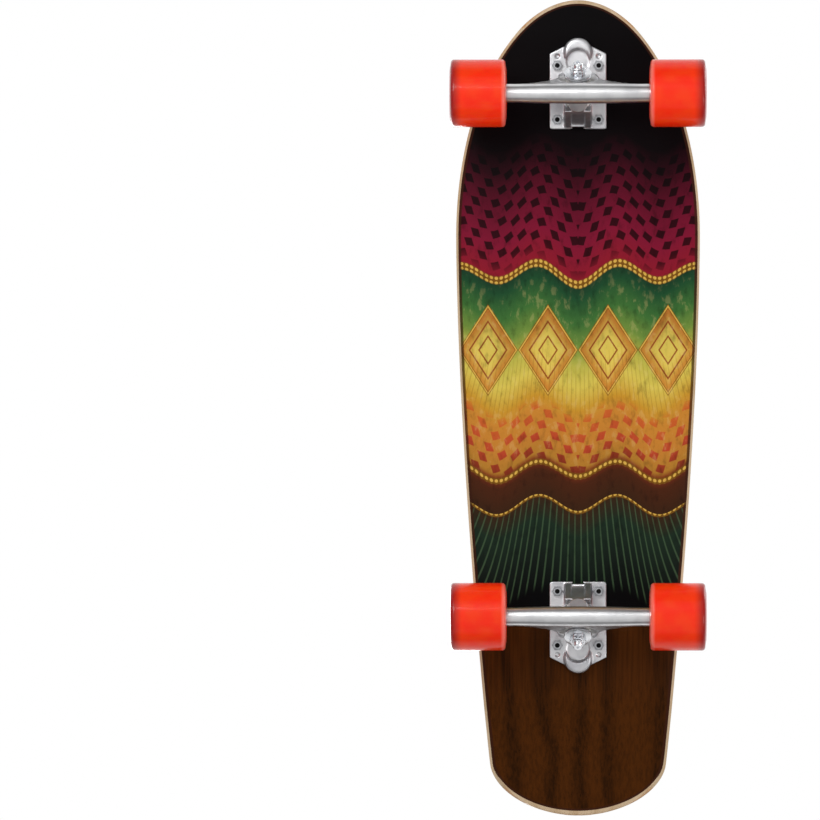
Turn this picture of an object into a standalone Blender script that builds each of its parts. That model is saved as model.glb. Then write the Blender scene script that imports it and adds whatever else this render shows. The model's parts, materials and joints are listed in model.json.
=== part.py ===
"""Cruiser skateboard: a kicked maple deck on two reverse-kingpin trucks with four urethane wheels.

+Y points to the nose, +X to the rider's right and +Z up. The origin is on the ground, midway along
and across the board. The rear truck is the front one turned half a turn about Z.
"""

from math import cos, pi, radians, sin, tan

import bmesh
import bpy
from mathutils import Matrix, Vector

MM = 0.001
GAP = 0.3 * MM  # between pieces that touch

# Deck, seen from above
DECK_LENGTH = 814 * MM
DECK_WIDTH = 242 * MM
DECK_WIDEST_FROM_NOSE = 235 * MM
DECK_WIDEST_Y = DECK_LENGTH / 2 - DECK_WIDEST_FROM_NOSE
DECK_TAIL_WIDTH = 170 * MM  # where the tail's rounding starts
DECK_TAIL_ROUND = 52 * MM  # length of the tail's rounding
DECK_THICKNESS = 10.5 * MM
RAIL_ROUND = 3 * MM

# Deck, seen from the side and the end
CONCAVE_DEPTH = 6 * MM
CONCAVE_FLAT = 60 * MM  # width of the flat middle
TAIL_KICK_LENGTH = 141 * MM
TAIL_KICK_Y = -DECK_LENGTH / 2 + TAIL_KICK_LENGTH
TAIL_KICK_ANGLE = 16
NOSE_KICK_LENGTH = 41 * MM
NOSE_KICK_Y = DECK_LENGTH / 2 - NOSE_KICK_LENGTH
NOSE_KICK_ANGLE = 7
KICK_RADIUS = 130 * MM

# Grip tape
GRIP_THICKNESS = 0.9 * MM
GRIP_NOSE_MARGIN = 19 * MM
GRIP_TAIL_MARGIN = 20 * MM
GRIP_WIDTH = 204 * MM
GRIP_TAIL_WIDTH = 143 * MM
GRIP_WIDEST_BACK = 9 * MM  # behind the deck's widest place
GRIP_WIDEST_Y = DECK_WIDEST_Y - GRIP_WIDEST_BACK
GRIP_TAIL_ROUND = 48 * MM

# Wheels and bearings
WHEEL_RADIUS = 33.5 * MM
WHEEL_WIDTH = 56.5 * MM
TREAD_WIDTH = 49 * MM
WHEEL_CENTRE_X = 99 * MM
LIP_RADIUS = 20 * MM
SHOULDER_RADIUS = 9 * MM
BEARING_RADIUS = 11 * MM
BEARING_WIDTH = 7 * MM
SPACER_LENGTH = 10 * MM
SPACER_RADIUS = 5.6 * MM
WASHER_RADIUS = 6.2 * MM
WASHER_THICKNESS = 0.9 * MM
AXLE_RADIUS = 4 * MM
AXLE_NUT_FLATS = 12.7 * MM
AXLE_NUT_HEIGHT = 8.5 * MM
AXLE_END_PAST_NUT = 1.5 * MM

# Trucks: places are measured outboard of the bolt pattern's centre and down from the deck
TRUCK_FROM_NOSE = 92 * MM
TRUCK_FRONT_Y = DECK_LENGTH / 2 - TRUCK_FROM_NOSE
TRUCK_FROM_TAIL = 197 * MM
TRUCK_REAR_Y = -DECK_LENGTH / 2 + TRUCK_FROM_TAIL
AXLE_DROP = 68 * MM
AXLE_INSET = 3 * MM
STEER_ANGLE = 50  # steering axis above the horizontal, and so the kingpin's lean
RING_OUT = 3 * MM
RING_DROP = 31 * MM
RING_RADIUS = 21 * MM
RING_THICKNESS = 9 * MM
RING_HOLE_RADIUS = 7 * MM
SEAT_RECESS = 1 * MM
TUBE_MID_RADIUS = 10.5 * MM
TUBE_END_RADIUS = 9.4 * MM
TUBE_FACE_RADIUS = 7.4 * MM
WEB_HALF_WIDTH = 68 * MM
PIVOT_RADIUS = 5.2 * MM
PIVOT_MOUTH = 15.5 * MM  # from the ring's centre along the steering axis
PIVOT_TIP = 21.5 * MM
PIVOT_CUP_WALL = 1.8 * MM
TOWER_WALL = 2.2 * MM
TOWER_CLEARANCE = 1.3 * MM
TOWER_INSET = 0.6 * MM  # how far the block behind the tower stays inside its outline

# Kingpin and what it holds
KINGPIN_RADIUS = 4.8 * MM
KINGPIN_HEAD_RADIUS = 7.6 * MM
KINGPIN_HEAD_HEIGHT = 6 * MM
KINGPIN_UNDER_SEAT = 11 * MM
KINGPIN_END_PAST_NUT = 4 * MM
KINGPIN_NUT_FLATS = 14.3 * MM
KINGPIN_NUT_HEIGHT = 8 * MM
BUSHING_RADIUS = 12.4 * MM
BUSHING_HEIGHT = 14.2 * MM
CUP_WASHER_THICKNESS = 1.9 * MM
CUP_WASHER_WALL = 1.2 * MM
CUP_WASHER_LIP = 1.6 * MM

# Baseplate
BASE_WIDTH = 57 * MM
BASE_INNER_END = 36.5 * MM
BASE_OUTER_END = 55 * MM
BASE_WING_END = 39 * MM
BASE_THICKNESS = 6 * MM
BASE_CORNER = 2.5 * MM
DOME_RADIUS = 14.3 * MM
DOME_HEIGHT = 13 * MM
DOME_SCOOP_RADIUS = 12 * MM
DOME_SCOOP_OUT = 31 * MM
CHANNEL_WIDTH = 14 * MM
CHANNEL_DEPTH = 2.2 * MM
NOTCH_DEPTH = 2 * MM

# Mounting bolts
BOLT_SPACING_X = 41.3 * MM
BOLT_SPACING_Y = 54 * MM
EXTRA_BOLT_SPACING_Y = 63.5 * MM
BOLT_RADIUS = 2.4 * MM
BOLT_HEAD_RADIUS = 4.8 * MM
BOLT_HEAD_HEIGHT = 2.6 * MM
BOLT_NUT_FLATS = 9.5 * MM
BOLT_NUT_HEIGHT = 5 * MM
BOLT_END_PAST_NUT = 1.2 * MM

# Worked out from the sizes above
UNDERSIDE_Z = WHEEL_RADIUS + AXLE_DROP
TOP_Z = UNDERSIDE_Z + DECK_THICKNESS
STEER = radians(STEER_ANGLE)
BEARING_OUT = SPACER_LENGTH / 2 + BEARING_WIDTH  # from the wheel's centre
HANGER_END_X = WHEEL_CENTRE_X - BEARING_OUT - WASHER_THICKNESS - 2 * GAP
AXLE_HOLE_RADIUS = AXLE_RADIUS + GAP
BUSHING_START = RING_THICKNESS / 2 - SEAT_RECESS + GAP  # from the ring's centre
BUSHING_END = BUSHING_START + BUSHING_HEIGHT
CUP_WASHER_END = BUSHING_END + GAP + CUP_WASHER_THICKNESS
SEAT_HEIGHT = CUP_WASHER_END + GAP
CUP_WASHER_RADIUS = BUSHING_RADIUS + GAP + CUP_WASHER_WALL
CUP_RADIUS = PIVOT_RADIUS + GAP + PIVOT_CUP_WALL
TOWER_RADIUS = CUP_RADIUS + GAP + TOWER_WALL
CUP_END = PIVOT_TIP + GAP + PIVOT_CUP_WALL
TOWER_END = CUP_END + GAP + TOWER_WALL
STEER_LIMIT = radians(18)
PAST_BASEPLATE = RING_DROP + 2 * SEAT_HEIGHT  # along the kingpin, from the ring's centre

ROUND_STEPS = 24
SMALL_STEPS = 16


def clear_scene():
    for old in list(bpy.data.objects):
        bpy.data.objects.remove(old, do_unlink=True)
    for old in list(bpy.data.collections):
        bpy.data.collections.remove(old)


def new_collection(name):
    made = bpy.data.collections.new(name)
    bpy.context.scene.collection.children.link(made)
    return made


def new_material(name, colour, roughness, metallic=0.0):
    made = bpy.data.materials.new(name)
    made.use_nodes = True
    shader = made.node_tree.nodes["Principled BSDF"]
    shader.inputs["Base Color"].default_value = (*colour, 1)
    shader.inputs["Roughness"].default_value = roughness
    shader.inputs["Metallic"].default_value = metallic
    return made


clear_scene()
PARTS = new_collection("cruiser_skateboard")
CUTTERS = new_collection("cutters")
CUTTERS.hide_render = True

MAPLE = new_material("maple", (0.45, 0.27, 0.14), 0.5)
GRIT = new_material("grip_grit", (0.06, 0.06, 0.06), 0.95)
URETHANE = new_material("red_urethane", (0.8, 0.05, 0.01), 0.3)
CAST_ALUMINIUM = new_material("cast_aluminium", (0.6, 0.6, 0.61), 0.35, 1.0)
STEEL = new_material("zinc_plated_steel", (0.55, 0.56, 0.58), 0.3, 1.0)
BLACK_STEEL = new_material("black_steel", (0.03, 0.03, 0.03), 0.45, 1.0)
WHITE_URETHANE = new_material("white_urethane", (0.8, 0.8, 0.78), 0.45)
BLACK_PLASTIC = new_material("black_plastic", (0.03, 0.03, 0.03), 0.5)


# Helpers for placing and shaping
def finish(made, material, parent=None, smooth=True):
    """Puts an object under its parent empty and gives it its material."""
    if material is None:
        CUTTERS.objects.link(made)
        made.hide_render = True
        made.display_type = "WIRE"
    else:
        PARTS.objects.link(made)
        made.data.materials.append(material)
    made.parent = parent
    if smooth:
        made.data.shade_smooth()
        made.data.set_sharp_from_angle(angle=radians(35))
    return made


def empty(name, place, turn=None, parent=None):
    made = bpy.data.objects.new(name, None)
    PARTS.objects.link(made)
    made.parent = parent
    made.matrix_local = Matrix.Translation(place) @ (turn or Matrix.Identity(4))
    return made


def turned(name, profile, material, parent, steps=ROUND_STEPS, at=0.0, closed=True):
    """A profile of (radius, height) points revolved about the parent's Z axis."""
    mesh = bpy.data.meshes.new(name)
    points = [(radius, 0, height) for radius, height in profile]
    edges = [(i, i + 1) for i in range(len(points) - 1)]
    if closed:
        edges.append((len(points) - 1, 0))
    mesh.from_pydata(points, edges, [])
    made = finish(bpy.data.objects.new(name, mesh), material, parent, smooth=False)
    made.location.z = at
    screw = made.modifiers.new("revolve", "SCREW")
    screw.steps = screw.render_steps = steps
    screw.use_merge_vertices = True
    screw.merge_threshold = 0.00001
    screw.use_smooth_shade = True
    return made


def ring_profile(inner, outer, low, high, chamfer=0.0):
    """An annulus, run down its outer side and up its inner one."""
    if not chamfer:
        return [(outer, high), (outer, low), (inner, low), (inner, high)]
    return [
        (outer - chamfer, high),
        (outer, high - chamfer),
        (outer, low + chamfer),
        (outer - chamfer, low),
        (inner, low),
        (inner, high),
    ]


def rod(name, radius, low, high, material, parent, steps=SMALL_STEPS, tip=None):
    """A solid cylinder about the parent's Z axis, or a cone that ends in tip at its high end."""
    profile = [(0, high), (radius if tip is None else tip, high), (radius, low), (0, low)]
    return turned(name, profile, material, parent, steps, closed=False)


def flat_solid(name, outline, depth, material, parent, turn=None, smooth=False):
    """An outline extruded by half of depth to either side of its plane, as a mesh."""
    curve = bpy.data.curves.new(name + "_outline", "CURVE")
    curve.dimensions = "2D"
    curve.fill_mode = "BOTH"
    curve.extrude = depth / 2
    spline = curve.splines.new("POLY")
    spline.points.add(len(outline) - 1)
    for point, (across, along) in zip(spline.points, outline):
        point.co = (across, along, 0, 1)
    spline.use_cyclic_u = True
    drawn = bpy.data.objects.new(name + "_outline", curve)
    bpy.context.scene.collection.objects.link(drawn)
    bpy.context.view_layer.update()
    graph = bpy.context.evaluated_depsgraph_get()
    mesh = bpy.data.meshes.new_from_object(drawn.evaluated_get(graph))
    shape = bmesh.new()
    shape.from_mesh(mesh)
    bmesh.ops.remove_doubles(shape, verts=shape.verts, dist=0.000001)
    bmesh.ops.recalc_face_normals(shape, faces=shape.faces)
    shape.to_mesh(mesh)
    shape.free()
    bpy.data.objects.remove(drawn, do_unlink=True)
    mesh.name = name
    made = finish(bpy.data.objects.new(name, mesh), material, parent, smooth)
    made.matrix_local = turn or Matrix.Identity(4)
    return made


def combine(made, other, operation="DIFFERENCE"):
    """Adds a Boolean with another object, which is a helper."""
    step = made.modifiers.new(operation.lower() + "_" + other.name, "BOOLEAN")
    step.operation = operation
    step.object = other
    step.solver = "EXACT"
    return made


def arc(centre, radius, start, end, steps):
    """Points along an arc, with its angles in degrees."""
    angles = [radians(start + (end - start) * i / steps) for i in range(steps + 1)]
    return [(centre[0] + radius * cos(a), centre[1] + radius * sin(a)) for a in angles]


def mirrored(half):
    """A closed outline from its right half, which is listed from one end to the other."""
    return half + [(-across, along) for across, along in reversed(half) if across > 1e-9]


def aim(axis, across):
    """A rotation that takes local Z to axis and local X to across."""
    z_axis = Vector(axis).normalized()
    x_axis = Vector(across).normalized()
    y_axis = z_axis.cross(x_axis)
    return Matrix((x_axis, y_axis, z_axis)).transposed().to_4x4()


# Deck and grip tape
def half_width(y, nose_y, tail_y, widest_y, width, tail_width, tail_round, power):
    """Half of the plan's width at y: an ellipse to the nose, a taper, and a rounded tail."""
    if y >= widest_y:
        share = (y - widest_y) / (nose_y - widest_y)
        return width / 2 * max(1 - share * share, 0) ** 0.5
    straight_end = tail_y + tail_round / 2
    share = (widest_y - y) / (widest_y - straight_end)
    half = (width - (width - tail_width) * share**power) / 2
    past = (tail_y + tail_round - y) / tail_round
    if past > 0:
        half *= max(1 - past * past, 0) ** 0.5
    return half


DECK_PLAN = (
    DECK_LENGTH / 2,
    -DECK_LENGTH / 2,
    DECK_WIDEST_Y,
    DECK_WIDTH,
    DECK_TAIL_WIDTH,
    DECK_TAIL_ROUND,
    1.6,
)
GRIP_PLAN = (
    DECK_LENGTH / 2 - GRIP_NOSE_MARGIN,
    -DECK_LENGTH / 2 + GRIP_TAIL_MARGIN,
    GRIP_WIDEST_Y,
    GRIP_WIDTH,
    GRIP_TAIL_WIDTH,
    GRIP_TAIL_ROUND,
    1.45,
)


def kick_rise(past, angle):
    """Height gained past the start of a kick: first along its bend, then along its slope."""
    if past <= 0:
        return 0.0
    bend = KICK_RADIUS * sin(radians(angle))
    if past < bend:
        return KICK_RADIUS - (KICK_RADIUS**2 - past**2) ** 0.5
    rise = KICK_RADIUS * (1 - cos(radians(angle)))
    return rise + (past - bend) * tan(radians(angle))


def deck_rise(x, y):
    """How far the pressed deck stands above its flat middle."""
    rise = kick_rise(TAIL_KICK_Y - y, TAIL_KICK_ANGLE)
    rise += kick_rise(y - NOSE_KICK_Y, NOSE_KICK_ANGLE)
    past_flat = max(abs(x) - CONCAVE_FLAT / 2, 0)
    side = (DECK_WIDTH - CONCAVE_FLAT) / 2
    fade = min(1, max(0, (DECK_LENGTH / 2 - abs(y)) / (60 * MM)))
    return rise + CONCAVE_DEPTH * (past_flat / side) ** 2 * fade


def stations(nose_y, tail_y, nose_round, tail_round):
    """Places along the board: close together at its round ends and at the tail's bend."""
    end_steps = 8
    bend_end = TAIL_KICK_Y - KICK_RADIUS * sin(radians(TAIL_KICK_ANGLE))
    nose = [nose_y - nose_round * (1 - cos(pi / 2 * i / end_steps)) for i in range(end_steps + 1)]
    tail = [tail_y + tail_round * (1 - cos(pi / 2 * i / end_steps)) for i in range(end_steps + 1)]
    middle_start = nose_y - nose_round
    middle = [middle_start + (TAIL_KICK_Y - middle_start) * i / 9 for i in range(1, 10)]
    bend = [TAIL_KICK_Y + (bend_end - TAIL_KICK_Y) * i / 4 for i in range(1, 5)]
    slope = [bend_end + (tail_y + tail_round - bend_end) * i / 3 for i in range(1, 3)]
    return nose + middle + bend + slope + tail[::-1]


def pressed_sheet(name, plan, thickness, low_z, material, columns=8):
    """A sheet with the deck's curves: rows of points across it, then a thickness downwards."""
    nose_y, tail_y, widest_y = plan[:3]
    shape = bmesh.new()
    rows = []
    for y in stations(nose_y, tail_y, nose_y - widest_y, plan[5]):
        half = half_width(y, *plan)
        shares = [0] if half < 1e-6 else [2 * i / columns - 1 for i in range(columns + 1)]
        row = []
        for share in shares:
            x = share * half
            z = low_z + thickness + deck_rise(x, y)
            row.append(shape.verts.new((x, y, z)))
        rows.append(row)
    for upper, lower in zip(rows, rows[1:]):
        for i in range(columns):
            corners = [
                upper[min(i, len(upper) - 1)],
                lower[min(i, len(lower) - 1)],
                lower[min(i + 1, len(lower) - 1)],
                upper[min(i + 1, len(upper) - 1)],
            ]
            shape.faces.new(list(dict.fromkeys(corners)))
    mesh = bpy.data.meshes.new(name)
    shape.to_mesh(mesh)
    shape.free()
    made = finish(bpy.data.objects.new(name, mesh), material)
    wall = made.modifiers.new("thickness", "SOLIDIFY")
    wall.thickness = thickness
    wall.offset = -1
    return made


def bolt_places():
    """Where the eight mounting bolts go, with a name for each."""
    for end, truck_y, outboard in (("front", TRUCK_FRONT_Y, 1), ("rear", TRUCK_REAR_Y, -1)):
        for row, side_y in (("outer", 1), ("inner", -1)):
            for side, side_x in (("left", -1), ("right", 1)):
                y = truck_y + outboard * side_y * BOLT_SPACING_Y / 2
                yield f"{end}_{row}_{side}_bolt", side_x * BOLT_SPACING_X / 2, y


def build_deck():
    deck = pressed_sheet("deck", DECK_PLAN, DECK_THICKNESS, UNDERSIDE_Z, MAPLE)
    rail = deck.modifiers.new("rounded_rail", "BEVEL")
    rail.width = RAIL_ROUND
    rail.segments = 2
    rail.limit_method = "ANGLE"
    rail.angle_limit = radians(50)
    grip = pressed_sheet("grip_tape", GRIP_PLAN, GRIP_THICKNESS, TOP_Z + GAP, GRIT)
    for name, x, y in bolt_places():
        place = empty(name + "_hole_axis", (x, y, 0))
        hole = bolt_hole(name, place)
        combine(deck, hole)
        combine(grip, hole)


def bolt_hole(name, place):
    """The hole through deck and tape, with a countersink under the bolt's head."""
    head_z = TOP_Z + GAP + GRIP_THICKNESS
    narrow = BOLT_RADIUS + GAP
    wide = BOLT_HEAD_RADIUS + GAP
    profile = [
        (0, head_z + 5 * MM),
        (wide, head_z + 5 * MM),
        (wide, head_z - GAP),
        (narrow, head_z - BOLT_HEAD_HEIGHT - GAP),
        (narrow, UNDERSIDE_Z - 5 * MM),
        (0, UNDERSIDE_Z - 5 * MM),
    ]
    return turned(name + "_hole", profile, None, place, 10, closed=False)


def hexagon(name, flats, low, high, material, parent):
    """A six-sided solid about the parent's Z axis."""
    radius = flats / 2 / cos(pi / 6)
    return rod(name, radius, low, high, material, parent, steps=6)


def build_bolt(name, place):
    """A countersunk bolt, in one piece with the lock nut at its lower end."""
    head_z = TOP_Z + GAP + GRIP_THICKNESS
    nut_top = UNDERSIDE_Z - GAP - BASE_THICKNESS - GAP
    nut_bottom = nut_top - BOLT_NUT_HEIGHT
    end_z = nut_bottom - BOLT_END_PAST_NUT
    profile = [
        (0, head_z),
        (BOLT_HEAD_RADIUS, head_z),
        (BOLT_HEAD_RADIUS, head_z - GAP),
        (BOLT_RADIUS, head_z - BOLT_HEAD_HEIGHT),
        (BOLT_RADIUS, end_z),
        (0, end_z),
    ]
    bolt = turned(name, profile, BLACK_STEEL, place, 10, closed=False)
    nut = hexagon(name + "_nut", BOLT_NUT_FLATS, nut_bottom, nut_top, None, place)
    combine(bolt, nut, "UNION")


# Trucks. Local places are (across, outboard, up from the deck's underside)
def build_baseplate(end, truck, kingpin_line, steer_line):
    wing = BASE_WIDTH / 2
    inner = -BASE_INNER_END
    dome_y = BASE_OUTER_END - DOME_RADIUS
    outline = arc((wing - BASE_CORNER, inner + BASE_CORNER), BASE_CORNER, -90, 0, 3)
    outline += [(wing, BASE_WING_END)]
    outline += [(DOME_RADIUS, BASE_WING_END + (wing - DOME_RADIUS) / 2)]
    outline += arc((0, dome_y), DOME_RADIUS, 10, 90, 7)
    outline = mirrored(outline)
    base_top = -GAP
    plate_z = base_top - BASE_THICKNESS / 2
    base = flat_solid(
        f"{end}_baseplate",
        outline,
        BASE_THICKNESS,
        CAST_ALUMINIUM,
        truck,
        Matrix.Translation((0, 0, plate_z)),
        smooth=True,
    )

    # The block that holds the bushing seat and the pivot, drawn from the side
    side_view = aim((1, 0, 0), (0, 1, 0))
    centre = Vector((RING_OUT, -RING_DROP))
    steer = Vector((cos(STEER), sin(STEER)))
    lean = Vector((sin(STEER), -cos(STEER)))

    def on_axes(along_steer, along_kingpin):
        place = centre + steer * along_steer + lean * along_kingpin
        return place.x, place.y

    mouth = -PIVOT_MOUTH
    seat_reach = (RING_DROP - BASE_THICKNESS - SEAT_HEIGHT * cos(STEER)) / sin(STEER)
    block_outline = [
        (inner + NOTCH_DEPTH, base_top - 1 * MM),
        (inner + NOTCH_DEPTH, -13 * MM),
        on_axes(1 * MM - TOWER_END, TOWER_INSET - TOWER_RADIUS),
        on_axes(mouth - TOWER_INSET, TOWER_INSET - TOWER_RADIUS),
        on_axes(mouth - TOWER_INSET, -SEAT_HEIGHT),
        on_axes(seat_reach + 3 * MM, -SEAT_HEIGHT),
        (on_axes(seat_reach, -SEAT_HEIGHT)[0] + 3 * MM, base_top - 1 * MM),
    ]
    block_width = 2 * DOME_RADIUS - 2.4 * MM
    block = flat_solid("block", block_outline, block_width, None, truck, side_view)
    combine(base, block, "UNION")

    tower = rod("tower", TOWER_RADIUS, -TOWER_END, mouth, None, steer_line, 24)
    combine(base, tower, "UNION")

    # A dome around the outboard end, scooped out to clear the kingpin's nut and the wrench
    hood_radius = DOME_RADIUS - 0.4 * MM
    hood_bottom = base_top - DOME_HEIGHT
    hood_profile = [(0, base_top - 1 * MM), (hood_radius, base_top - 1 * MM)]
    hood_profile += arc((hood_radius - 3 * MM, hood_bottom + 3 * MM), 3 * MM, 0, -90, 3)
    hood_profile += [(0, hood_bottom)]
    hood_place = empty("hood_axis", (0, dome_y, 0), parent=truck)
    hood = turned("hood", hood_profile, None, hood_place, 28, closed=False)
    combine(base, hood, "UNION")

    scoop_place = empty("scoop_axis", (0, DOME_SCOOP_OUT, 0), parent=truck)
    floor_z = base_top - BASE_THICKNESS
    scoop_floor = floor_z + 0.8 * MM
    scoop = turned(
        "scoop",
        [
            (0, scoop_floor),
            (DOME_SCOOP_RADIUS, scoop_floor),
            (DOME_SCOOP_RADIUS + 0.1 * MM, -DOME_HEIGHT + 2 * MM),
            (DOME_SCOOP_RADIUS + 4 * MM, -DOME_HEIGHT - 4 * MM),
            (0, -DOME_HEIGHT - 4 * MM),
        ],
        None,
        scoop_place,
        24,
        closed=False,
    )
    combine(base, scoop)

    cup_hole = rod("cup_hole", CUP_RADIUS + GAP, -CUP_END - GAP, 0, None, steer_line, 24)
    combine(base, cup_hole)
    kingpin_hole = rod(
        "kingpin_hole", KINGPIN_RADIUS + GAP, -PAST_BASEPLATE, 0, None, kingpin_line, 20
    )
    combine(base, kingpin_hole)
    head_room = -SEAT_HEIGHT - KINGPIN_UNDER_SEAT + GAP
    pocket_radius = KINGPIN_HEAD_RADIUS + GAP
    head_pocket = rod(
        "head_pocket", pocket_radius, -PAST_BASEPLATE, head_room, None, kingpin_line, 20
    )
    combine(base, head_pocket)

    # A channel between two ribs down the inner face
    foot = Vector((inner + NOTCH_DEPTH, -13 * MM))
    crest = Vector(on_axes(-TOWER_END, -TOWER_RADIUS))
    slope = (crest - foot).normalized()
    outward = Vector((-abs(slope.y), -abs(slope.x)))
    channel_outline = [
        foot + slope * 1 * MM - outward * CHANNEL_DEPTH,
        foot + slope * (crest - foot).length * 0.8 - outward * CHANNEL_DEPTH,
        foot + slope * (crest - foot).length * 0.9 + outward * 6 * MM,
        foot - slope * 1 * MM + outward * 6 * MM,
    ]
    channel = flat_solid(
        "channel", [tuple(p) for p in channel_outline], CHANNEL_WIDTH, None, truck, side_view
    )
    combine(base, channel)

    dimple_y = EXTRA_BOLT_SPACING_Y - BOLT_SPACING_Y / 2
    for side in (-1, 1):
        for out, low in (
            (-BOLT_SPACING_Y / 2, 1 * MM),
            (BOLT_SPACING_Y / 2, 1 * MM),
            (dimple_y, floor_z + 1.2 * MM),
        ):
            place = empty("base_hole_axis", (side * BOLT_SPACING_X / 2, out, 0), parent=truck)
            radius = BOLT_RADIUS + GAP
            hole = rod("base_hole", radius, floor_z - 1 * MM, low, None, place, 12)
            combine(base, hole)


def cup_washer(name, parent, low, faces_up):
    """A dished washer whose lip stands around the end of its bushing."""
    high = low + CUP_WASHER_THICKNESS
    lip = BUSHING_RADIUS + GAP
    hole = KINGPIN_RADIUS + GAP
    if faces_up:
        profile = [
            (CUP_WASHER_RADIUS, high + CUP_WASHER_LIP),
            (CUP_WASHER_RADIUS, low + CUP_WASHER_THICKNESS / 2),
            (CUP_WASHER_RADIUS - 1.5 * MM, low),
            (hole, low),
            (hole, high),
            (lip, high),
            (lip, high + CUP_WASHER_LIP),
        ]
    else:
        profile = [
            (CUP_WASHER_RADIUS - 1.5 * MM, high),
            (CUP_WASHER_RADIUS, high - CUP_WASHER_THICKNESS / 2),
            (CUP_WASHER_RADIUS, low - CUP_WASHER_LIP),
            (lip, low - CUP_WASHER_LIP),
            (lip, low),
            (hole, low),
            (hole, high),
        ]
    return turned(name, profile, STEEL, parent, 18)


def build_kingpin_stack(end, line):
    """The kingpin and what it clamps, along its own axis from the hanger ring's centre."""
    nut_low = CUP_WASHER_END + GAP
    nut_high = nut_low + KINGPIN_NUT_HEIGHT
    pin_end = nut_high + KINGPIN_END_PAST_NUT
    head_top = -SEAT_HEIGHT - KINGPIN_UNDER_SEAT
    head_bottom = head_top - KINGPIN_HEAD_HEIGHT
    profile = [
        (0, pin_end),
        (KINGPIN_RADIUS - 1 * MM, pin_end),
        (KINGPIN_RADIUS, pin_end - 1 * MM),
        (KINGPIN_RADIUS, head_top),
        (KINGPIN_HEAD_RADIUS, head_top),
        (KINGPIN_HEAD_RADIUS, head_bottom),
        (0, head_bottom),
    ]
    turned(f"{end}_kingpin", profile, STEEL, line, 20, closed=False)
    nut = hexagon(f"{end}_kingpin_nut", KINGPIN_NUT_FLATS, nut_low, nut_high, STEEL, line)
    bore = rod(
        "nut_bore", KINGPIN_RADIUS + GAP, nut_low - 1 * MM, nut_high + 1 * MM, None, line, 20
    )
    combine(nut, bore)
    cup_washer(f"{end}_road_cup_washer", line, BUSHING_END + GAP, faces_up=False)
    cup_washer(f"{end}_board_cup_washer", line, -CUP_WASHER_END, faces_up=True)
    hole = KINGPIN_RADIUS + GAP
    for side, low, high in (
        ("road", BUSHING_START, BUSHING_END),
        ("board", -BUSHING_END, -BUSHING_START),
    ):
        profile = ring_profile(hole, BUSHING_RADIUS, low, high, 1 * MM)
        turned(f"{end}_{side}_bushing", profile, WHITE_URETHANE, line, 18)


def build_pivot_cup(end, line):
    """The plastic cup in the tower that the hanger's pivot turns in."""
    floor = -PIVOT_TIP - GAP
    bore = PIVOT_RADIUS + GAP
    profile = [
        (0, floor),
        (bore - 1 * MM, floor),
        (bore, floor + 1 * MM),
        (bore, -PIVOT_MOUTH),
        (CUP_RADIUS, -PIVOT_MOUTH),
        (CUP_RADIUS, -CUP_END),
        (0, -CUP_END),
    ]
    turned(f"{end}_pivot_cup", profile, BLACK_PLASTIC, line, 20, closed=False)


def swung(radius, height):
    """Where the hanger must be clear of a washer's corner, so that it is at full lock too."""
    across = radius * cos(STEER_LIMIT) + height * sin(STEER_LIMIT)
    return across + 2 * GAP, height * cos(STEER_LIMIT) - radius * sin(STEER_LIMIT)


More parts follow.
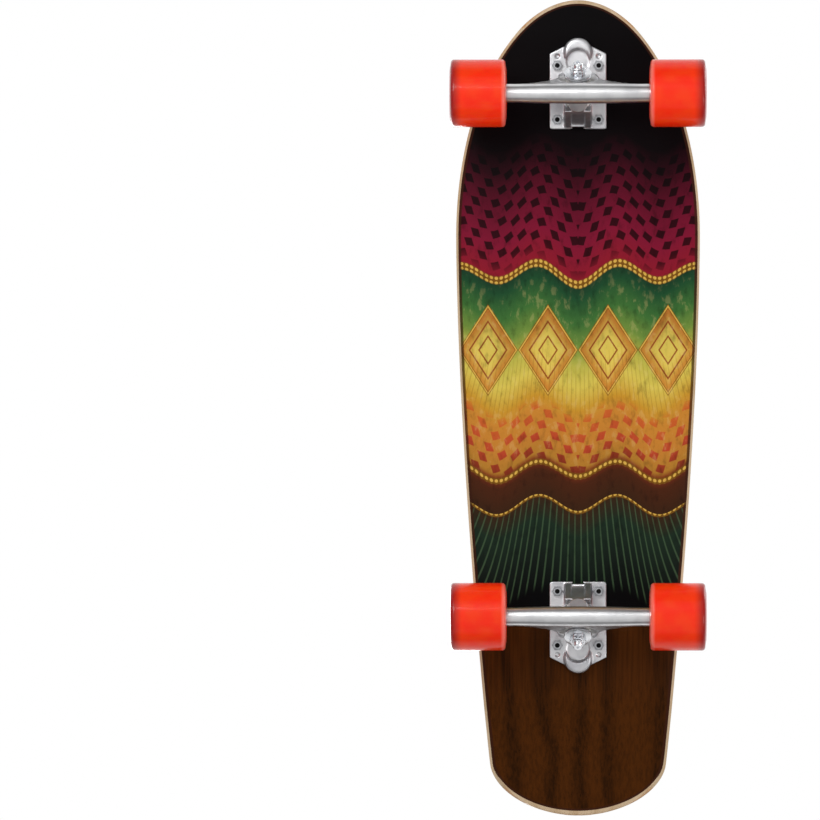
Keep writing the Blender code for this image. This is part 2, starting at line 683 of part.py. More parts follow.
def build_hanger(end, truck, kingpin_line, steer_line, axle_line):
    """The casting that carries the axle: a wedge-shaped yoke from the tube up to the ring."""
    centre = Vector((RING_OUT, -RING_DROP))
    steer = Vector((cos(STEER), sin(STEER)))
    lean = Vector((sin(STEER), -cos(STEER)))
    axle = Vector((-AXLE_INSET, -AXLE_DROP))
    half_ring = RING_THICKNESS / 2

    # Seen from the side, from inside the tube to inside the ring
    side_outline = [
        axle + Vector((-7.5 * MM, 1 * MM)),
        axle + Vector((0, -7 * MM)),
        axle + Vector((8.2 * MM, -1 * MM)),
        centre + steer * (RING_RADIUS - 1.5 * MM) + lean * (half_ring + 0.8 * MM),
        centre + steer * (RING_RADIUS - 1.5 * MM) - lean * (half_ring - 1 * MM),
        centre - steer * (PIVOT_MOUTH - 6 * MM) - lean * (half_ring - 1 * MM),
    ]
    side_view = aim((1, 0, 0), (0, 1, 0))
    side_outline = [tuple(point) for point in side_outline]
    hanger = flat_solid(
        f"{end}_hanger", side_outline, 2 * WEB_HALF_WIDTH, CAST_ALUMINIUM, truck, side_view
    )

    # Seen from outboard, the webs flare from the ring's sides out along the tube
    top = centre + steer * RING_RADIUS
    rise = top - axle
    height = rise.length
    shoulder = RING_RADIUS - 1 * MM
    flare = []
    for i in range(8):
        share = i / 7
        across = shoulder + (WEB_HALF_WIDTH - shoulder) * (1 - share) ** 2.5
        flare.append((across, 3 * MM + (height * 0.72 - 3 * MM) * share))
    front = mirrored(
        [(WEB_HALF_WIDTH, -12 * MM)] + flare + arc((0, height * 0.72), shoulder, 18, 90, 4)
    )
    along = Vector((0, rise.x, rise.y)).normalized()
    facing = Vector((1, 0, 0)).cross(along)
    front_view = Matrix.Translation((0, axle.x, axle.y)) @ aim(facing, (1, 0, 0))
    front_cut = flat_solid("web_outline", front, 80 * MM, None, truck, front_view)
    combine(hanger, front_cut, "INTERSECT")

    # Room for the bushings, whose washers the webs swing past
    lip = swung(CUP_WASHER_RADIUS, BUSHING_END + GAP - CUP_WASHER_LIP)
    rim = swung(CUP_WASHER_RADIUS, CUP_WASHER_END)
    start = half_ring - 0.3 * MM
    near = CUP_WASHER_RADIUS - 0.4 * MM
    reach = 45 * MM
    profile = [(0, reach), (rim[0], reach), rim, lip, (near, start), (0, start)]
    road_room = turned("road_room", profile, None, kingpin_line, 24, closed=False)
    combine(hanger, road_room)
    room_radius = RING_RADIUS - 1.8 * MM
    room_end = start + 0.15 * MM
    ring_room = rod("ring_room", room_radius, -14 * MM, room_end, None, kingpin_line, 24)
    combine(hanger, ring_room)
    tower_room = rod(
        "tower_room",
        TOWER_RADIUS + TOWER_CLEARANCE,
        -TOWER_END - 14 * MM,
        -PIVOT_MOUTH + 1 * MM,
        None,
        steer_line,
        24,
    )
    combine(hanger, tower_room)

    seat = half_ring - SEAT_RECESS
    seat_radius = BUSHING_RADIUS + GAP
    ring_half = [
        (seat_radius, seat),
        (seat_radius, half_ring),
        (RING_RADIUS - 1.5 * MM, half_ring),
        (RING_RADIUS, half_ring - 1.5 * MM),
    ]
    ring_profile_points = [(RING_HOLE_RADIUS, seat)] + ring_half
    ring_profile_points += [(radius, -z) for radius, z in reversed(ring_profile_points)]
    ring = turned("ring", ring_profile_points, None, kingpin_line, 28)
    combine(ring, tower_room)
    combine(hanger, ring, "UNION")
    pivot = turned(
        "pivot",
        [
            (0, -seat_radius - 0.6 * MM),
            (PIVOT_RADIUS, -seat_radius - 0.6 * MM),
            (PIVOT_RADIUS, -PIVOT_TIP + 2.2 * MM),
            (PIVOT_RADIUS * 0.55, -PIVOT_TIP),
            (0, -PIVOT_TIP),
        ],
        None,
        steer_line,
        20,
        closed=False,
    )
    combine(hanger, pivot, "UNION")

    tube_half = [
        (TUBE_FACE_RADIUS, HANGER_END_X),
        (TUBE_END_RADIUS, HANGER_END_X - 3 * MM),
        (TUBE_END_RADIUS, HANGER_END_X * 0.72),
        (TUBE_MID_RADIUS - 0.3 * MM, HANGER_END_X * 0.35),
    ]
    tube_profile = [(0, HANGER_END_X)] + tube_half + [(TUBE_MID_RADIUS, 0)]
    tube_profile += [(radius, -x) for radius, x in reversed(tube_half)] + [(0, -HANGER_END_X)]
    tube = turned("tube", tube_profile, None, axle_line, 24, closed=False)
    combine(hanger, tube, "UNION")

    bore_end = HANGER_END_X + TUBE_END_RADIUS
    bore = rod("axle_bore", AXLE_HOLE_RADIUS, -bore_end, bore_end, None, axle_line, 16)
    combine(hanger, bore)
    hanger.data.shade_smooth()


def wheel_profile():
    """A wheel's section: flat tread, domed sides, bearing seats and a shoulder between them."""
    tread = TREAD_WIDTH / 2
    side = WHEEL_WIDTH / 2
    seat = BEARING_RADIUS + GAP
    inner = SPACER_LENGTH / 2 - GAP
    outer_half = [
        (SHOULDER_RADIUS, inner),
        (seat, inner),
        (seat, BEARING_OUT + 0.5 * MM),
        (LIP_RADIUS - 4 * MM, BEARING_OUT + 6 * MM),
        (LIP_RADIUS, side - 0.5 * MM),
        (LIP_RADIUS + 3 * MM, side),
        (WHEEL_RADIUS - 5.5 * MM, side - 1.2 * MM),
        (WHEEL_RADIUS - 1.2 * MM, tread + 1.2 * MM),
        (WHEEL_RADIUS, tread - 0.8 * MM),
    ]
    return outer_half + [(radius, -x) for radius, x in reversed(outer_half)]


def build_wheel(end, side, axle_line, across):
    """A wheel, its bearings and what holds them on one end of the axle."""
    name = f"{end}_{side}"
    hub = empty(f"{name}_hub", (0, 0, across * WHEEL_CENTRE_X), parent=axle_line)
    turned(f"{name}_wheel", wheel_profile(), URETHANE, hub, ROUND_STEPS)
    inward = -across
    near = SPACER_LENGTH / 2
    for place, direction in (("inner", inward), ("outer", -inward)):
        low, high = sorted((direction * near, direction * (near + BEARING_WIDTH)))
        profile = ring_profile(AXLE_HOLE_RADIUS, BEARING_RADIUS, low, high)
        turned(f"{name}_{place}_bearing", profile, STEEL, hub, 16)
        start = direction * (BEARING_OUT + GAP)
        low, high = sorted((start, start + direction * WASHER_THICKNESS))
        profile = ring_profile(AXLE_HOLE_RADIUS, WASHER_RADIUS, low, high)
        turned(f"{name}_{place}_speed_washer", profile, STEEL, hub, 12)
    spacer_end = SPACER_LENGTH / 2 - GAP
    profile = ring_profile(AXLE_HOLE_RADIUS, SPACER_RADIUS, -spacer_end, spacer_end)
    turned(f"{name}_spacer", profile, STEEL, hub, 12)

    nut_start = BEARING_OUT + 2 * GAP + WASHER_THICKNESS
    low, high = sorted((across * nut_start, across * (nut_start + AXLE_NUT_HEIGHT)))
    nut = hexagon(f"{name}_axle_nut", AXLE_NUT_FLATS, low, high, STEEL, hub)
    bore = rod("axle_nut_bore", AXLE_HOLE_RADIUS, low - 1 * MM, high + 1 * MM, None, hub, 16)
    combine(nut, bore)


def build_axle(end, line):
    """A plain rod through the hanger and both wheels, chamfered at its ends."""
    reach = WHEEL_CENTRE_X + BEARING_OUT + 2 * GAP + WASHER_THICKNESS
    reach += AXLE_NUT_HEIGHT + AXLE_END_PAST_NUT
    chamfer = 0.8 * MM
    profile = [
        (0, reach),
        (AXLE_RADIUS - chamfer, reach),
        (AXLE_RADIUS, reach - chamfer),
        (AXLE_RADIUS, chamfer - reach),
        (AXLE_RADIUS - chamfer, -reach),
        (0, -reach),
    ]
    turned(f"{end}_axle", profile, STEEL, line, 16, closed=False)


def build_truck(end, y, turn):
    """A whole truck with its wheels. The rear one is turned half a turn about Z."""
    truck = empty(f"{end}_truck", (0, y, UNDERSIDE_Z), Matrix.Rotation(turn, 4, "Z"))
    ring = (0, RING_OUT, -RING_DROP)
    lean = (0, sin(STEER), -cos(STEER))
    steer = (0, cos(STEER), sin(STEER))
    kingpin_line = empty(f"{end}_kingpin_line", ring, aim(lean, (1, 0, 0)), truck)
    steer_line = empty(f"{end}_steer_line", ring, aim(steer, (1, 0, 0)), truck)
    axle_turn = aim((1, 0, 0), (0, 1, 0))
    axle_line = empty(f"{end}_axle_line", (0, -AXLE_INSET, -AXLE_DROP), axle_turn, truck)
    build_baseplate(end, truck, kingpin_line, steer_line)
    build_pivot_cup(end, steer_line)
    build_kingpin_stack(end, kingpin_line)
    build_hanger(end, truck, kingpin_line, steer_line, axle_line)
    build_axle(end, axle_line)
    right = 1 if turn == 0 else -1
    build_wheel(end, "right", axle_line, right)
    build_wheel(end, "left", axle_line, -right)


build_deck()
for bolt_name, bolt_x, bolt_y in bolt_places():
    build_bolt(bolt_name, empty(bolt_name + "_axis", (bolt_x, bolt_y, 0)))
build_truck("front", TRUCK_FRONT_Y, 0)
build_truck("rear", TRUCK_REAR_Y, pi)
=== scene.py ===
# %% [markdown]
# # A cruiser skateboard
# The board lies ready to ride, and the camera looks at it from below, as the photograph shows its printed
# underside and both trucks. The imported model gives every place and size: this script measures its pieces,
# builds finer ones over them and gives each its material. A reader who is new to Blender can run the
# cells in order and look at each result.

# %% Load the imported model
import json
from math import cos, hypot, pi, radians, sin, tan

import bmesh
import bpy
from mathutils import Matrix, Vector
from mathutils.kdtree import KDTree

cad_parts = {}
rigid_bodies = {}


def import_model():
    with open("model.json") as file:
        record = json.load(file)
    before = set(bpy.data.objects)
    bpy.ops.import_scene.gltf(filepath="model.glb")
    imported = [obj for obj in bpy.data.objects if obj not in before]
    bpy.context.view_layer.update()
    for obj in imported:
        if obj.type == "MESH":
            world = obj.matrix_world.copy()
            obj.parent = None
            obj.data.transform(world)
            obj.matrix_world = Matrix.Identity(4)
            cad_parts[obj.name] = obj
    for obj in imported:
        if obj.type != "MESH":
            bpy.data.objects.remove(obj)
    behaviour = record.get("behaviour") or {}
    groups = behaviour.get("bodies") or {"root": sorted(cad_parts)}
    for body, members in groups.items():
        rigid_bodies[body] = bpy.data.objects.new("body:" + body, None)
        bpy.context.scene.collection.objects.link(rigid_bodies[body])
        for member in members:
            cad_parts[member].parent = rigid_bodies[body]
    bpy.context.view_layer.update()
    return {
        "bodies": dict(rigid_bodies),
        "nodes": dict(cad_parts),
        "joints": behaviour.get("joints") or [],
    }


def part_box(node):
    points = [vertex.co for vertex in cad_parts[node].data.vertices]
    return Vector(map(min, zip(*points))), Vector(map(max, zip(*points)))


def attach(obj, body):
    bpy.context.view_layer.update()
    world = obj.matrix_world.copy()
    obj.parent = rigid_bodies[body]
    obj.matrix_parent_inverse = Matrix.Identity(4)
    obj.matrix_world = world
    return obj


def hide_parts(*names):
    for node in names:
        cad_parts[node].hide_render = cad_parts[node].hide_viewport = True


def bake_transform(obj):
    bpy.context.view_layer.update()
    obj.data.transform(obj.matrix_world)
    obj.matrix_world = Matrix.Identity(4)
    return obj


for old in list(bpy.data.objects):
    bpy.data.objects.remove(old, do_unlink=True)

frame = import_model()
NODES = frame["nodes"]
JOINTS = {joint["name"]: joint for joint in frame["joints"]}
HOLDERS = {holder: body for body, holder in frame["bodies"].items()}
BODY_OF = {node: HOLDERS.get(part.parent) for node, part in NODES.items()}
MM = 0.001

# %% [markdown]
# ## Lines to build on
# Almost every piece of a skateboard's running gear is round about some line: the axle, the kingpin or the
# bolts. A matrix whose Z axis runs along such a line is a handy workbench: a piece is made upright
# at the origin, and the matrix then lays it in its place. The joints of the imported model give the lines.

# %% Lines through the trucks
ENDS = ("front", "rear")
SIDES = ("left", "right")


def line_matrix(origin, axis, across=(1, 0, 0)):
    """A matrix with its Z axis along axis and its X axis across."""
    z_axis = Vector(axis).normalized()
    x_axis = Vector(across).normalized()
    turn = Matrix((x_axis, z_axis.cross(x_axis), z_axis)).transposed().to_4x4()
    return Matrix.Translation(origin) @ turn


def kingpin_line(end):
    """From the hanger ring's centre towards the kingpin's nut."""
    joint = JOINTS[f"{end}_steer"]
    steer = Vector(joint["axis"])
    outboard = 1 if joint["pos_m"][1] > 0 else -1
    return line_matrix(joint["pos_m"], (0, outboard * steer.z, -abs(steer.y)))


def steer_line(end):
    joint = JOINTS[f"{end}_steer"]
    return line_matrix(joint["pos_m"], joint["axis"])


def hub_line(end, side):
    """From a wheel's centre outwards."""
    joint = JOINTS[f"{end}_{side}_spin"]
    outward = 1 if joint["pos_m"][0] > 0 else -1
    return line_matrix(joint["pos_m"], (outward, 0, 0), (0, outward, 0))


def measured(node, line):
    """A node's low and high ends along a line, and its largest and smallest radius about it."""
    to_line = line.inverted()
    points = [to_line @ vertex.co for vertex in NODES[node].data.vertices]
    heights = [point.z for point in points]
    radii = [hypot(point.x, point.y) for point in points]
    return min(heights), max(heights), max(radii), min(radii)


print("axles at", {end: JOINTS[f"{end}_left_spin"]["pos_m"][1] for end in ENDS})

# %% [markdown]
# ## Plain words for nodes
# A shader or a geometry tree is mostly arithmetic. Placing each Math node by hand hides the formula, so
# a small wrapper lets the script write `a * b + 1` and adds the nodes for it. The same Python function can
# then work on plain numbers and on a tree's fields. A socket knows its tree, so the tree is seldom named.

# %% Node helpers


def set_inputs(node, inputs):
    """Gives each named input a number, a colour, a Field or a socket."""
    for name, value in inputs.items():
        value = value.socket if isinstance(value, Field) else value
        if isinstance(value, bpy.types.NodeSocket):
            node.id_data.links.new(value, node.inputs[name])
        else:
            node.inputs[name].default_value = value


def with_settings(thing, **settings):
    """Gives a node, a modifier, a lamp or a camera its settings and hands it back."""
    for name, value in settings.items():
        setattr(thing, name, value)
    return thing


def add_node(tree, kind, inputs=None, **settings):
    node = with_settings(tree.nodes.new(kind), **settings)
    set_inputs(node, inputs or {})
    return node


def math_node(operation, flip=False):
    """A method that adds one Math node; flip puts the Field's own value last."""

    def method(field, *others):
        terms = (*others, field) if flip else (field, *others)
        node = add_node(field.tree, "ShaderNodeMath", dict(enumerate(terms)), operation=operation)
        return Field(node.outputs[0])

    return method


class Field:
    """A number that varies over a surface, with ordinary arithmetic."""

    def __init__(self, socket):
        self.tree = socket.id_data
        self.socket = socket

    __add__ = __radd__ = math_node("ADD")
    __sub__ = math_node("SUBTRACT")
    __rsub__ = math_node("SUBTRACT", flip=True)
    __mul__ = __rmul__ = math_node("MULTIPLY")
    __truediv__ = math_node("DIVIDE")
    __pow__ = math_node("POWER")
    __abs__ = math_node("ABSOLUTE")
    maximum = math_node("MAXIMUM")
    minimum = math_node("MINIMUM")
    sine = math_node("SINE")
    cosine = math_node("COSINE")
    fraction = math_node("FRACT")
    above = math_node("GREATER_THAN")  # 1 where the value is over an edge, and 0 elsewhere


def larger(a, b):
    return a.maximum(b) if isinstance(a, Field) else max(a, b)


def smaller(a, b):
    return a.minimum(b) if isinstance(a, Field) else min(a, b)


def ramp_between(a, low, high):
    """Rises smoothly from 0 at low to 1 at high."""
    inputs = {"Value": a, "From Min": low, "From Max": high}
    node = add_node(a.tree, "ShaderNodeMapRange", inputs, interpolation_type="SMOOTHSTEP")
    return Field(node.outputs[0])


def line_near(a, middle, width):
    """1 within half of width of the middle, with a soft edge."""
    return 1 - ramp_between(abs(a - middle), width * 0.35, width * 0.65)


def axes_of(place):
    """The three coordinates of a place."""
    node = add_node(place.id_data, "ShaderNodeSeparateXYZ", {0: place})
    return [Field(output) for output in node.outputs]


# %% [markdown]
# ## Round pieces
# Wheels, washers, bearings, nuts and bolts are all stacks of rings. One builder takes the rings from one end
# to the other and joins them: a ring is round, or six-sided with its corners rounded off as on a lathe. A
# vector attribute keeps each point's place from before the piece is laid on its line, so that one
# material serves pieces in different places.

# %% The ring builder


def six_sided(flats, angle):
    """The distance from the middle to the side of a hexagon, in the direction of angle."""
    within_side = (angle % (pi / 3)) - pi / 6
    return flats / 2 / cos(within_side)


def ring_shape(shape, rings, steps, slot=0):
    """Adds rings of (radius, height), with the flats too where a ring is six-sided, to a bmesh.

    A ring of no radius is a point. A profile that starts at such a point is open; any other is closed.
    """
    rows = []
    for radius, height, *flats in rings:
        row = []
        for i in range(steps if radius else 1):
            angle = 2 * pi * i / steps
            out = min([radius] + [six_sided(size, angle) for size in flats])
            row.append(shape.verts.new((out * cos(angle), out * sin(angle), height)))
        rows.append(row)
    following = rows[1:] + (rows[:1] if rings[0][0] else [])
    for upper, lower in zip(rows, following):
        for i in range(steps):
            j = (i + 1) % steps
            corners = [upper[i % len(upper)], lower[i % len(lower)]]
            corners += [lower[j % len(lower)], upper[j % len(upper)]]
            face = shape.faces.new(list(dict.fromkeys(corners)))
            face.material_index = slot


def mesh_of(shape, name):
    """A mesh from a bmesh, with its faces turned outwards."""
    bmesh.ops.recalc_face_normals(shape, faces=shape.faces)
    mesh = bpy.data.meshes.new(name)
    shape.to_mesh(mesh)
    shape.free()
    return mesh


def new_object(name, data, materials=()):
    made = bpy.data.objects.new(name, data)
    bpy.context.scene.collection.objects.link(made)
    for material in materials:
        data.materials.append(material)
    return made


def mesh_made_by(maker, name):
    """The plain mesh that an object's modifiers make; the object itself goes."""
    bpy.context.view_layer.update()
    graph = bpy.context.evaluated_depsgraph_get()
    mesh = bpy.data.meshes.new_from_object(maker.evaluated_get(graph))
    bpy.data.objects.remove(maker, do_unlink=True)
    mesh.name = name
    return mesh


def shade(mesh, angle=40):
    mesh.shade_smooth()
    mesh.set_sharp_from_angle(angle=radians(angle))


def place_piece(name, mesh, line, body, materials, nodes=(), angle=40):
    """Keeps the mesh's own coordinates as an attribute, lays it on its line and lets it ride."""
    own = mesh.attributes.new("own_place", "FLOAT_VECTOR", "POINT")
    own.data.foreach_set("vector", [value for vertex in mesh.vertices for value in vertex.co])
    mesh.transform(line)
    shade(mesh, angle)
    made = new_object(name, mesh, materials)
    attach(made, body)
    for node in nodes:
        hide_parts(node)
    return made


def turned_piece(node, name, line, *parts, steps=64):
    """A turned piece in place of a CAD node: each part is a material and the profiles that have it."""
    shape = bmesh.new()
    for slot, part in enumerate(parts):
        for rings in part[1:]:
            ring_shape(shape, rings, steps, slot)
    materials = [part[0] for part in parts]
    return place_piece(name, mesh_of(shape, name), line, BODY_OF[node], materials, [node])


def fillet(centre, radius, start, end, steps=5):
    """Points (radius, height) on an arc about a centre, with its angles in degrees."""
    angles = [radians(start + (end - start) * i / steps) for i in range(steps + 1)]
    return [(centre[0] + radius * cos(a), centre[1] + radius * sin(a)) for a in angles]


# %% [markdown]
# ## Colours and shared effects
# A paint code is read off a screen, so it is made linear before a shader gets it. Effects that more than one
# finish uses are node groups with named sockets: an uneven finish for castings, plating and plastic,
# wood grain for the stained tail and for the maple plies, and the wave bands that both printed faces share.

# %% Colour and group helpers
SOCKET_KINDS = {3: "NodeSocketVector", 4: "NodeSocketColor"}


def paint(code):
    """A linear colour from a hex code as a screen shows it."""
    parts = [int(code[i : i + 2], 16) / 255 for i in (0, 2, 4)]
    linear = [c / 12.92 if c <= 0.04045 else ((c + 0.055) / 1.055) ** 2.4 for c in parts]
    return (*linear, 1.0)


def new_group(name, inputs):
    """A shader node group; each input's kind follows from its default. Returns its input sockets too."""
    group = bpy.data.node_groups.new(name, "ShaderNodeTree")
    for label, value in inputs.items():
        kind = "NodeSocketFloat" if isinstance(value, float) else SOCKET_KINDS[len(value)]
        group.interface.new_socket(label, in_out="INPUT", socket_type=kind).default_value = value
    return group, group.nodes.new("NodeGroupInput").outputs


def close_group(group, results):
    """Gives a group its outputs: a Field is a number and anything else a colour."""
    for label, value in results.items():
        kind = "NodeSocketFloat" if isinstance(value, Field) else "NodeSocketColor"
        group.interface.new_socket(label, in_out="OUTPUT", socket_type=kind)
    set_inputs(group.nodes.new("NodeGroupOutput"), results)
    return group


def noise_field(place, scale, detail=3.0, stretch=None):
    """Fractal noise from 0 to 1; stretch multiplies each axis of the place."""
    tree = place.id_data
    if stretch:
        node = add_node(tree, "ShaderNodeVectorMath", {0: place, 1: stretch}, operation="MULTIPLY")
        place = node.outputs[0]
    inputs = {"Vector": place, "Scale": scale, "Detail": detail, "Roughness": 0.55}
    return Field(add_node(tree, "ShaderNodeTexNoise", inputs).outputs["Fac"])


def blend_colours(share, low, high):
    """The low colour where share is 0 and the high one where it is 1; either may be a paint code."""
    low, high = (paint(colour) if isinstance(colour, str) else colour for colour in (low, high))
    inputs = {"Factor": share, 6: low, 7: high}
    return add_node(share.tree, "ShaderNodeMix", inputs, data_type="RGBA").outputs[2]


def layered(colour, layers):
    """Lays colours over one another: each layer is its share and its colour."""
    for share, top in layers:
        colour = blend_colours(share, colour, top)
    return colour


def uneven_finish():
    """Blotches in the colour, a spread in the roughness and a fine grain in the surface."""
    inputs = {
        "Place": (0, 0, 0),
        "Colour": (0.5, 0.5, 0.5, 1),
        "Blotch colour": (0.4, 0.4, 0.4, 1),
        "Blotches per metre": 60.0,
        "Grain per metre": 1500.0,
        "Roughness": 0.4,
        "Roughness spread": 0.1,
    }
    group, given = new_group("uneven finish", inputs)
    blotch = noise_field(given["Place"], given["Blotches per metre"])
    grain = noise_field(given["Place"], given["Grain per metre"], detail=2.0)
    colour = blend_colours(ramp_between(blotch, 0.4, 0.7), given["Colour"], given["Blotch colour"])
    roughness = Field(given["Roughness"]) + (grain + blotch - 1) * Field(given["Roughness spread"])
    return close_group(group, {"Colour": colour, "Roughness": roughness, "Height": grain})


def wood_grain():
    """Long wavering grain with darker pores, running along Y."""
    inputs = {
        "Place": (0, 0, 0),
        "Light": (0.3, 0.2, 0.1, 1),
        "Dark": (0.1, 0.05, 0.02, 1),
        "Rings per metre": 60.0,
    }
    group, given = new_group("wood grain", inputs)
    place = given["Place"]
    bend = noise_field(place, 9.0, detail=2.0, stretch=(1, 0.35, 1))
    knots = noise_field(place, 30.0, detail=1.0, stretch=(1, 0.25, 1))
    rings_at = (axes_of(place)[0] + bend * 0.09 + knots * 0.012) * Field(given["Rings per metre"])
    ring = (rings_at * (2 * pi)).sine() * 0.5 + 0.5
    streaks = noise_field(place, 420.0, detail=4.0, stretch=(1, 0.035, 1))
    pores = ramp_between(noise_field(place, 1500.0, 1.0, stretch=(1, 0.03, 1)), 0.6, 0.75)
    tone = ring**2 * 0.5 + ramp_between(streaks, 0.35, 0.7) * 0.4 + pores * 0.35
    colour = blend_colours(tone, given["Light"], given["Dark"])
    return close_group(group, {"Colour": colour, "Height": 1 - pores})


def repeat_field(a, size):
    """Distance from the middle of the nearest cell, from -0.5 to 0.5 of its size."""
    return (a / size).fraction() - 0.5


def wave_bands():
    """Where a point lies along wavering bands, and masks for the small ornament on them."""
    inputs = {"Place": (0, 0, 0), "Wave height": 0.009, "Wave length": 0.08, "Cell size": 0.0165}
    group, given = new_group("wave bands", inputs)
    across, along = axes_of(given["Place"])[:2]
    across = abs(across)
    height = Field(given["Wave height"])
    wave = (across / Field(given["Wave length"]) * (2 * pi)).cosine() * height
    along = along + wave + (across * 30.0 + along * 20.0).sine() * (height * 0.3)
    cell = Field(given["Cell size"])
    cell_across = abs(repeat_field(across + along * 0.5, cell))
    cell_along = abs(repeat_field(along - across * 0.5, cell))
    bead_across = repeat_field(across, cell * 0.3)
    bead_along = repeat_field(along, cell * 0.3)
    bead_reach = (bead_across * bead_across + bead_along * bead_along) ** 0.5
    fan = repeat_field(across * (1 + along * 2.2), cell * 0.28)
    results = {
        "Along": along,
        "Lattice": 1 - ramp_between(cell_across + cell_along, 0.34, 0.42),
        "Beads": 1 - ramp_between(bead_reach, 0.26, 0.42),
        "Veins": line_near(fan, 0.0, 0.22),
        "Tone": noise_field(given["Place"], 160.0, detail=5.0, stretch=(1, 0.5, 1)),
    }
    return close_group(group, results)


UNEVEN_FINISH = uneven_finish()
WOOD_GRAIN = wood_grain()
WAVE_BANDS = wave_bands()
print("groups:", [group.name for group in bpy.data.node_groups])

# %% [markdown]
# ## Metals, plastic and urethane
# Cast aluminium is bright with a fine skin and soft blotches, and shot-blasted castings are a little duller.
# Zinc plating is smoother and a little blue. Plain steel is grey, and the mounting bolts are blackened.
# Bushings are satin white urethane. A wheel is red urethane that lets a little light in, and its colour
# holds painted light: a painted highlight at its inner corner, painted shade at its outer shoulder and hub.

# %% Finishes for the running gear
TURNING_PITCH = 0.6 * MM  # between the fine marks that turning leaves on a wheel's tread


def new_finish(name):
    material = bpy.data.materials.new(name)
    material.use_nodes = True
    tree = material.node_tree
    return material, tree, tree.nodes["Principled BSDF"]


def object_place(tree):
    return add_node(tree, "ShaderNodeTexCoord").outputs["Object"]


def stored(tree, name):
    """The outputs of a node that reads an attribute of the mesh."""
    return add_node(tree, "ShaderNodeAttribute", attribute_name=name).outputs


def set_bump(shader, height, distance, strength=1.0):
    inputs = {"Height": height, "Distance": distance, "Strength": strength}
    set_inputs(shader, {"Normal": add_node(shader.id_data, "ShaderNodeBump", inputs).outputs[0]})


def grainy_finish(name, colour, blotch, roughness, metallic, sizes, bump=0.00002, specular=0.5):
    """An even finish with blotches and grain; sizes holds how many of each there are to a metre."""
    material, tree, shader = new_finish(name)
    inputs = {
        "Place": object_place(tree),
        "Colour": paint(colour),
        "Blotch colour": paint(blotch),
        "Blotches per metre": sizes[0],
        "Grain per metre": sizes[1],
        "Roughness": roughness,
    }
    skin = add_node(tree, "ShaderNodeGroup", inputs, node_tree=UNEVEN_FINISH).outputs
    set_inputs(shader, {"Base Color": skin["Colour"], "Roughness": skin["Roughness"]})
    set_inputs(shader, {"Metallic": metallic, "Specular IOR Level": specular})
    set_bump(shader, skin["Height"], bump)
    return material


CAST = grainy_finish("cast aluminium", "e2e2e3", "cfcfd1", 0.34, 1.0, (45, 1300), 0.00006)
SHOT_CAST = grainy_finish("shot-blasted aluminium", "d6d6d8", "b8b8bc", 0.36, 0.92, (45, 1300), 0.00008)
ZINC = grainy_finish("zinc plated steel", "f0f1f4", "dcdfe4", 0.24, 1.0, (150, 2500))
STEEL = grainy_finish("plain steel", "b9babd", "a3a4a8", 0.28, 1.0, (200, 3000))
BLACK_STEEL = grainy_finish("black steel", "0c0c0d", "070708", 0.5, 0.0, (200, 2500), specular=0.08)
NYLON = grainy_finish("nylon", "e6e6e2", "d6d6d0", 0.5, 0.0, (300, 3000))
BUSHING = grainy_finish("white urethane", "ecebe6", "dcdbd4", 0.42, 0.0, (120, 2000))
SHIELD = grainy_finish("bearing shield", "2a2a2d", "1c1c1f", 0.45, 0.2, (200, 2500))
CUP_PLASTIC = grainy_finish("black plastic", "1d1d1f", "141416", 0.5, 0.0, (150, 2200))


def wheel_finish(half_width, radius):
    """Red urethane by place, with painted light: a painted highlight at the inner corner, painted shade at the
    outer edge and towards the hub.
    """
    material, tree, shader = new_finish("red urethane")
    place = stored(tree, "own_place")["Vector"]
    x, y, z = axes_of(place)
    reach = (x * x + y * y) ** 0.5
    outward = z / half_width
    # painted highlight: a paler pink band at the inner corner of the tread
    painted_highlight_corner = ramp_between(outward * -1, 0.78, 0.9) * ramp_between(reach, radius * 0.7, radius * 0.8)
    # painted shade: a dark maroon band over the outer shoulder
    shoulder_shade = ramp_between(outward, 0.52, 0.95) * ramp_between(reach, radius * 0.72, radius * 0.8)
    cloud = ramp_between(noise_field(place, 55.0, detail=2.0), 0.3, 0.6)
    # painted shade: darker red towards the hub, brighter out at the tread
    body = blend_colours(ramp_between(reach, radius * 0.4, radius * 0.9), "cc1a02", "ff2800")
    layers = [(cloud * 0.7, "ff3e06"), (painted_highlight_corner * 0.5, "ff9080"), (shoulder_shade * 0.75, "5c0a1e")]
    turning = (z * (2 * pi / TURNING_PITCH)).sine() * ramp_between(reach, radius * 0.965, radius * 0.99)
    grain = noise_field(place, 1800.0, detail=2.0)
    inputs = {
        "Base Color": layered(body, layers),
        "Roughness": 0.2 + grain * 0.12,
        "Subsurface Weight": 0.25,
        "Subsurface Radius": (1.0, 0.2, 0.05),
        "Subsurface Scale": 0.005,
        "Specular IOR Level": 0.15,
        "Coat Weight": 0.3,
        "Coat Roughness": 0.12,
    }
    set_inputs(shader, inputs)
    set_bump(shader, turning * 0.3 + grain, 0.00001)
    return material


WHEEL_HALF_WIDTH, WHEEL_RADIUS = measured("front_right_wheel", hub_line("front", "right"))[1:3]
RED_URETHANE = wheel_finish(WHEEL_HALF_WIDTH, WHEEL_RADIUS)
print("wheel", round(WHEEL_HALF_WIDTH * 2000, 1), "mm wide and", round(WHEEL_RADIUS * 2000, 1), "across")

# %% [markdown]
# ## The deck's form
# A deck is seven thin plies of maple, pressed in a mould and then cut to its outline. Both the outline and
# the mould follow rules, so Geometry Nodes can make the sheet: a flat grid is moved, point by point, to
# where two formulas put it. The points crowd together at nose and tail, where the outline turns. The grip
# tape lies on the same pressed face with an outline of its own, so it is the same tree with other sizes.

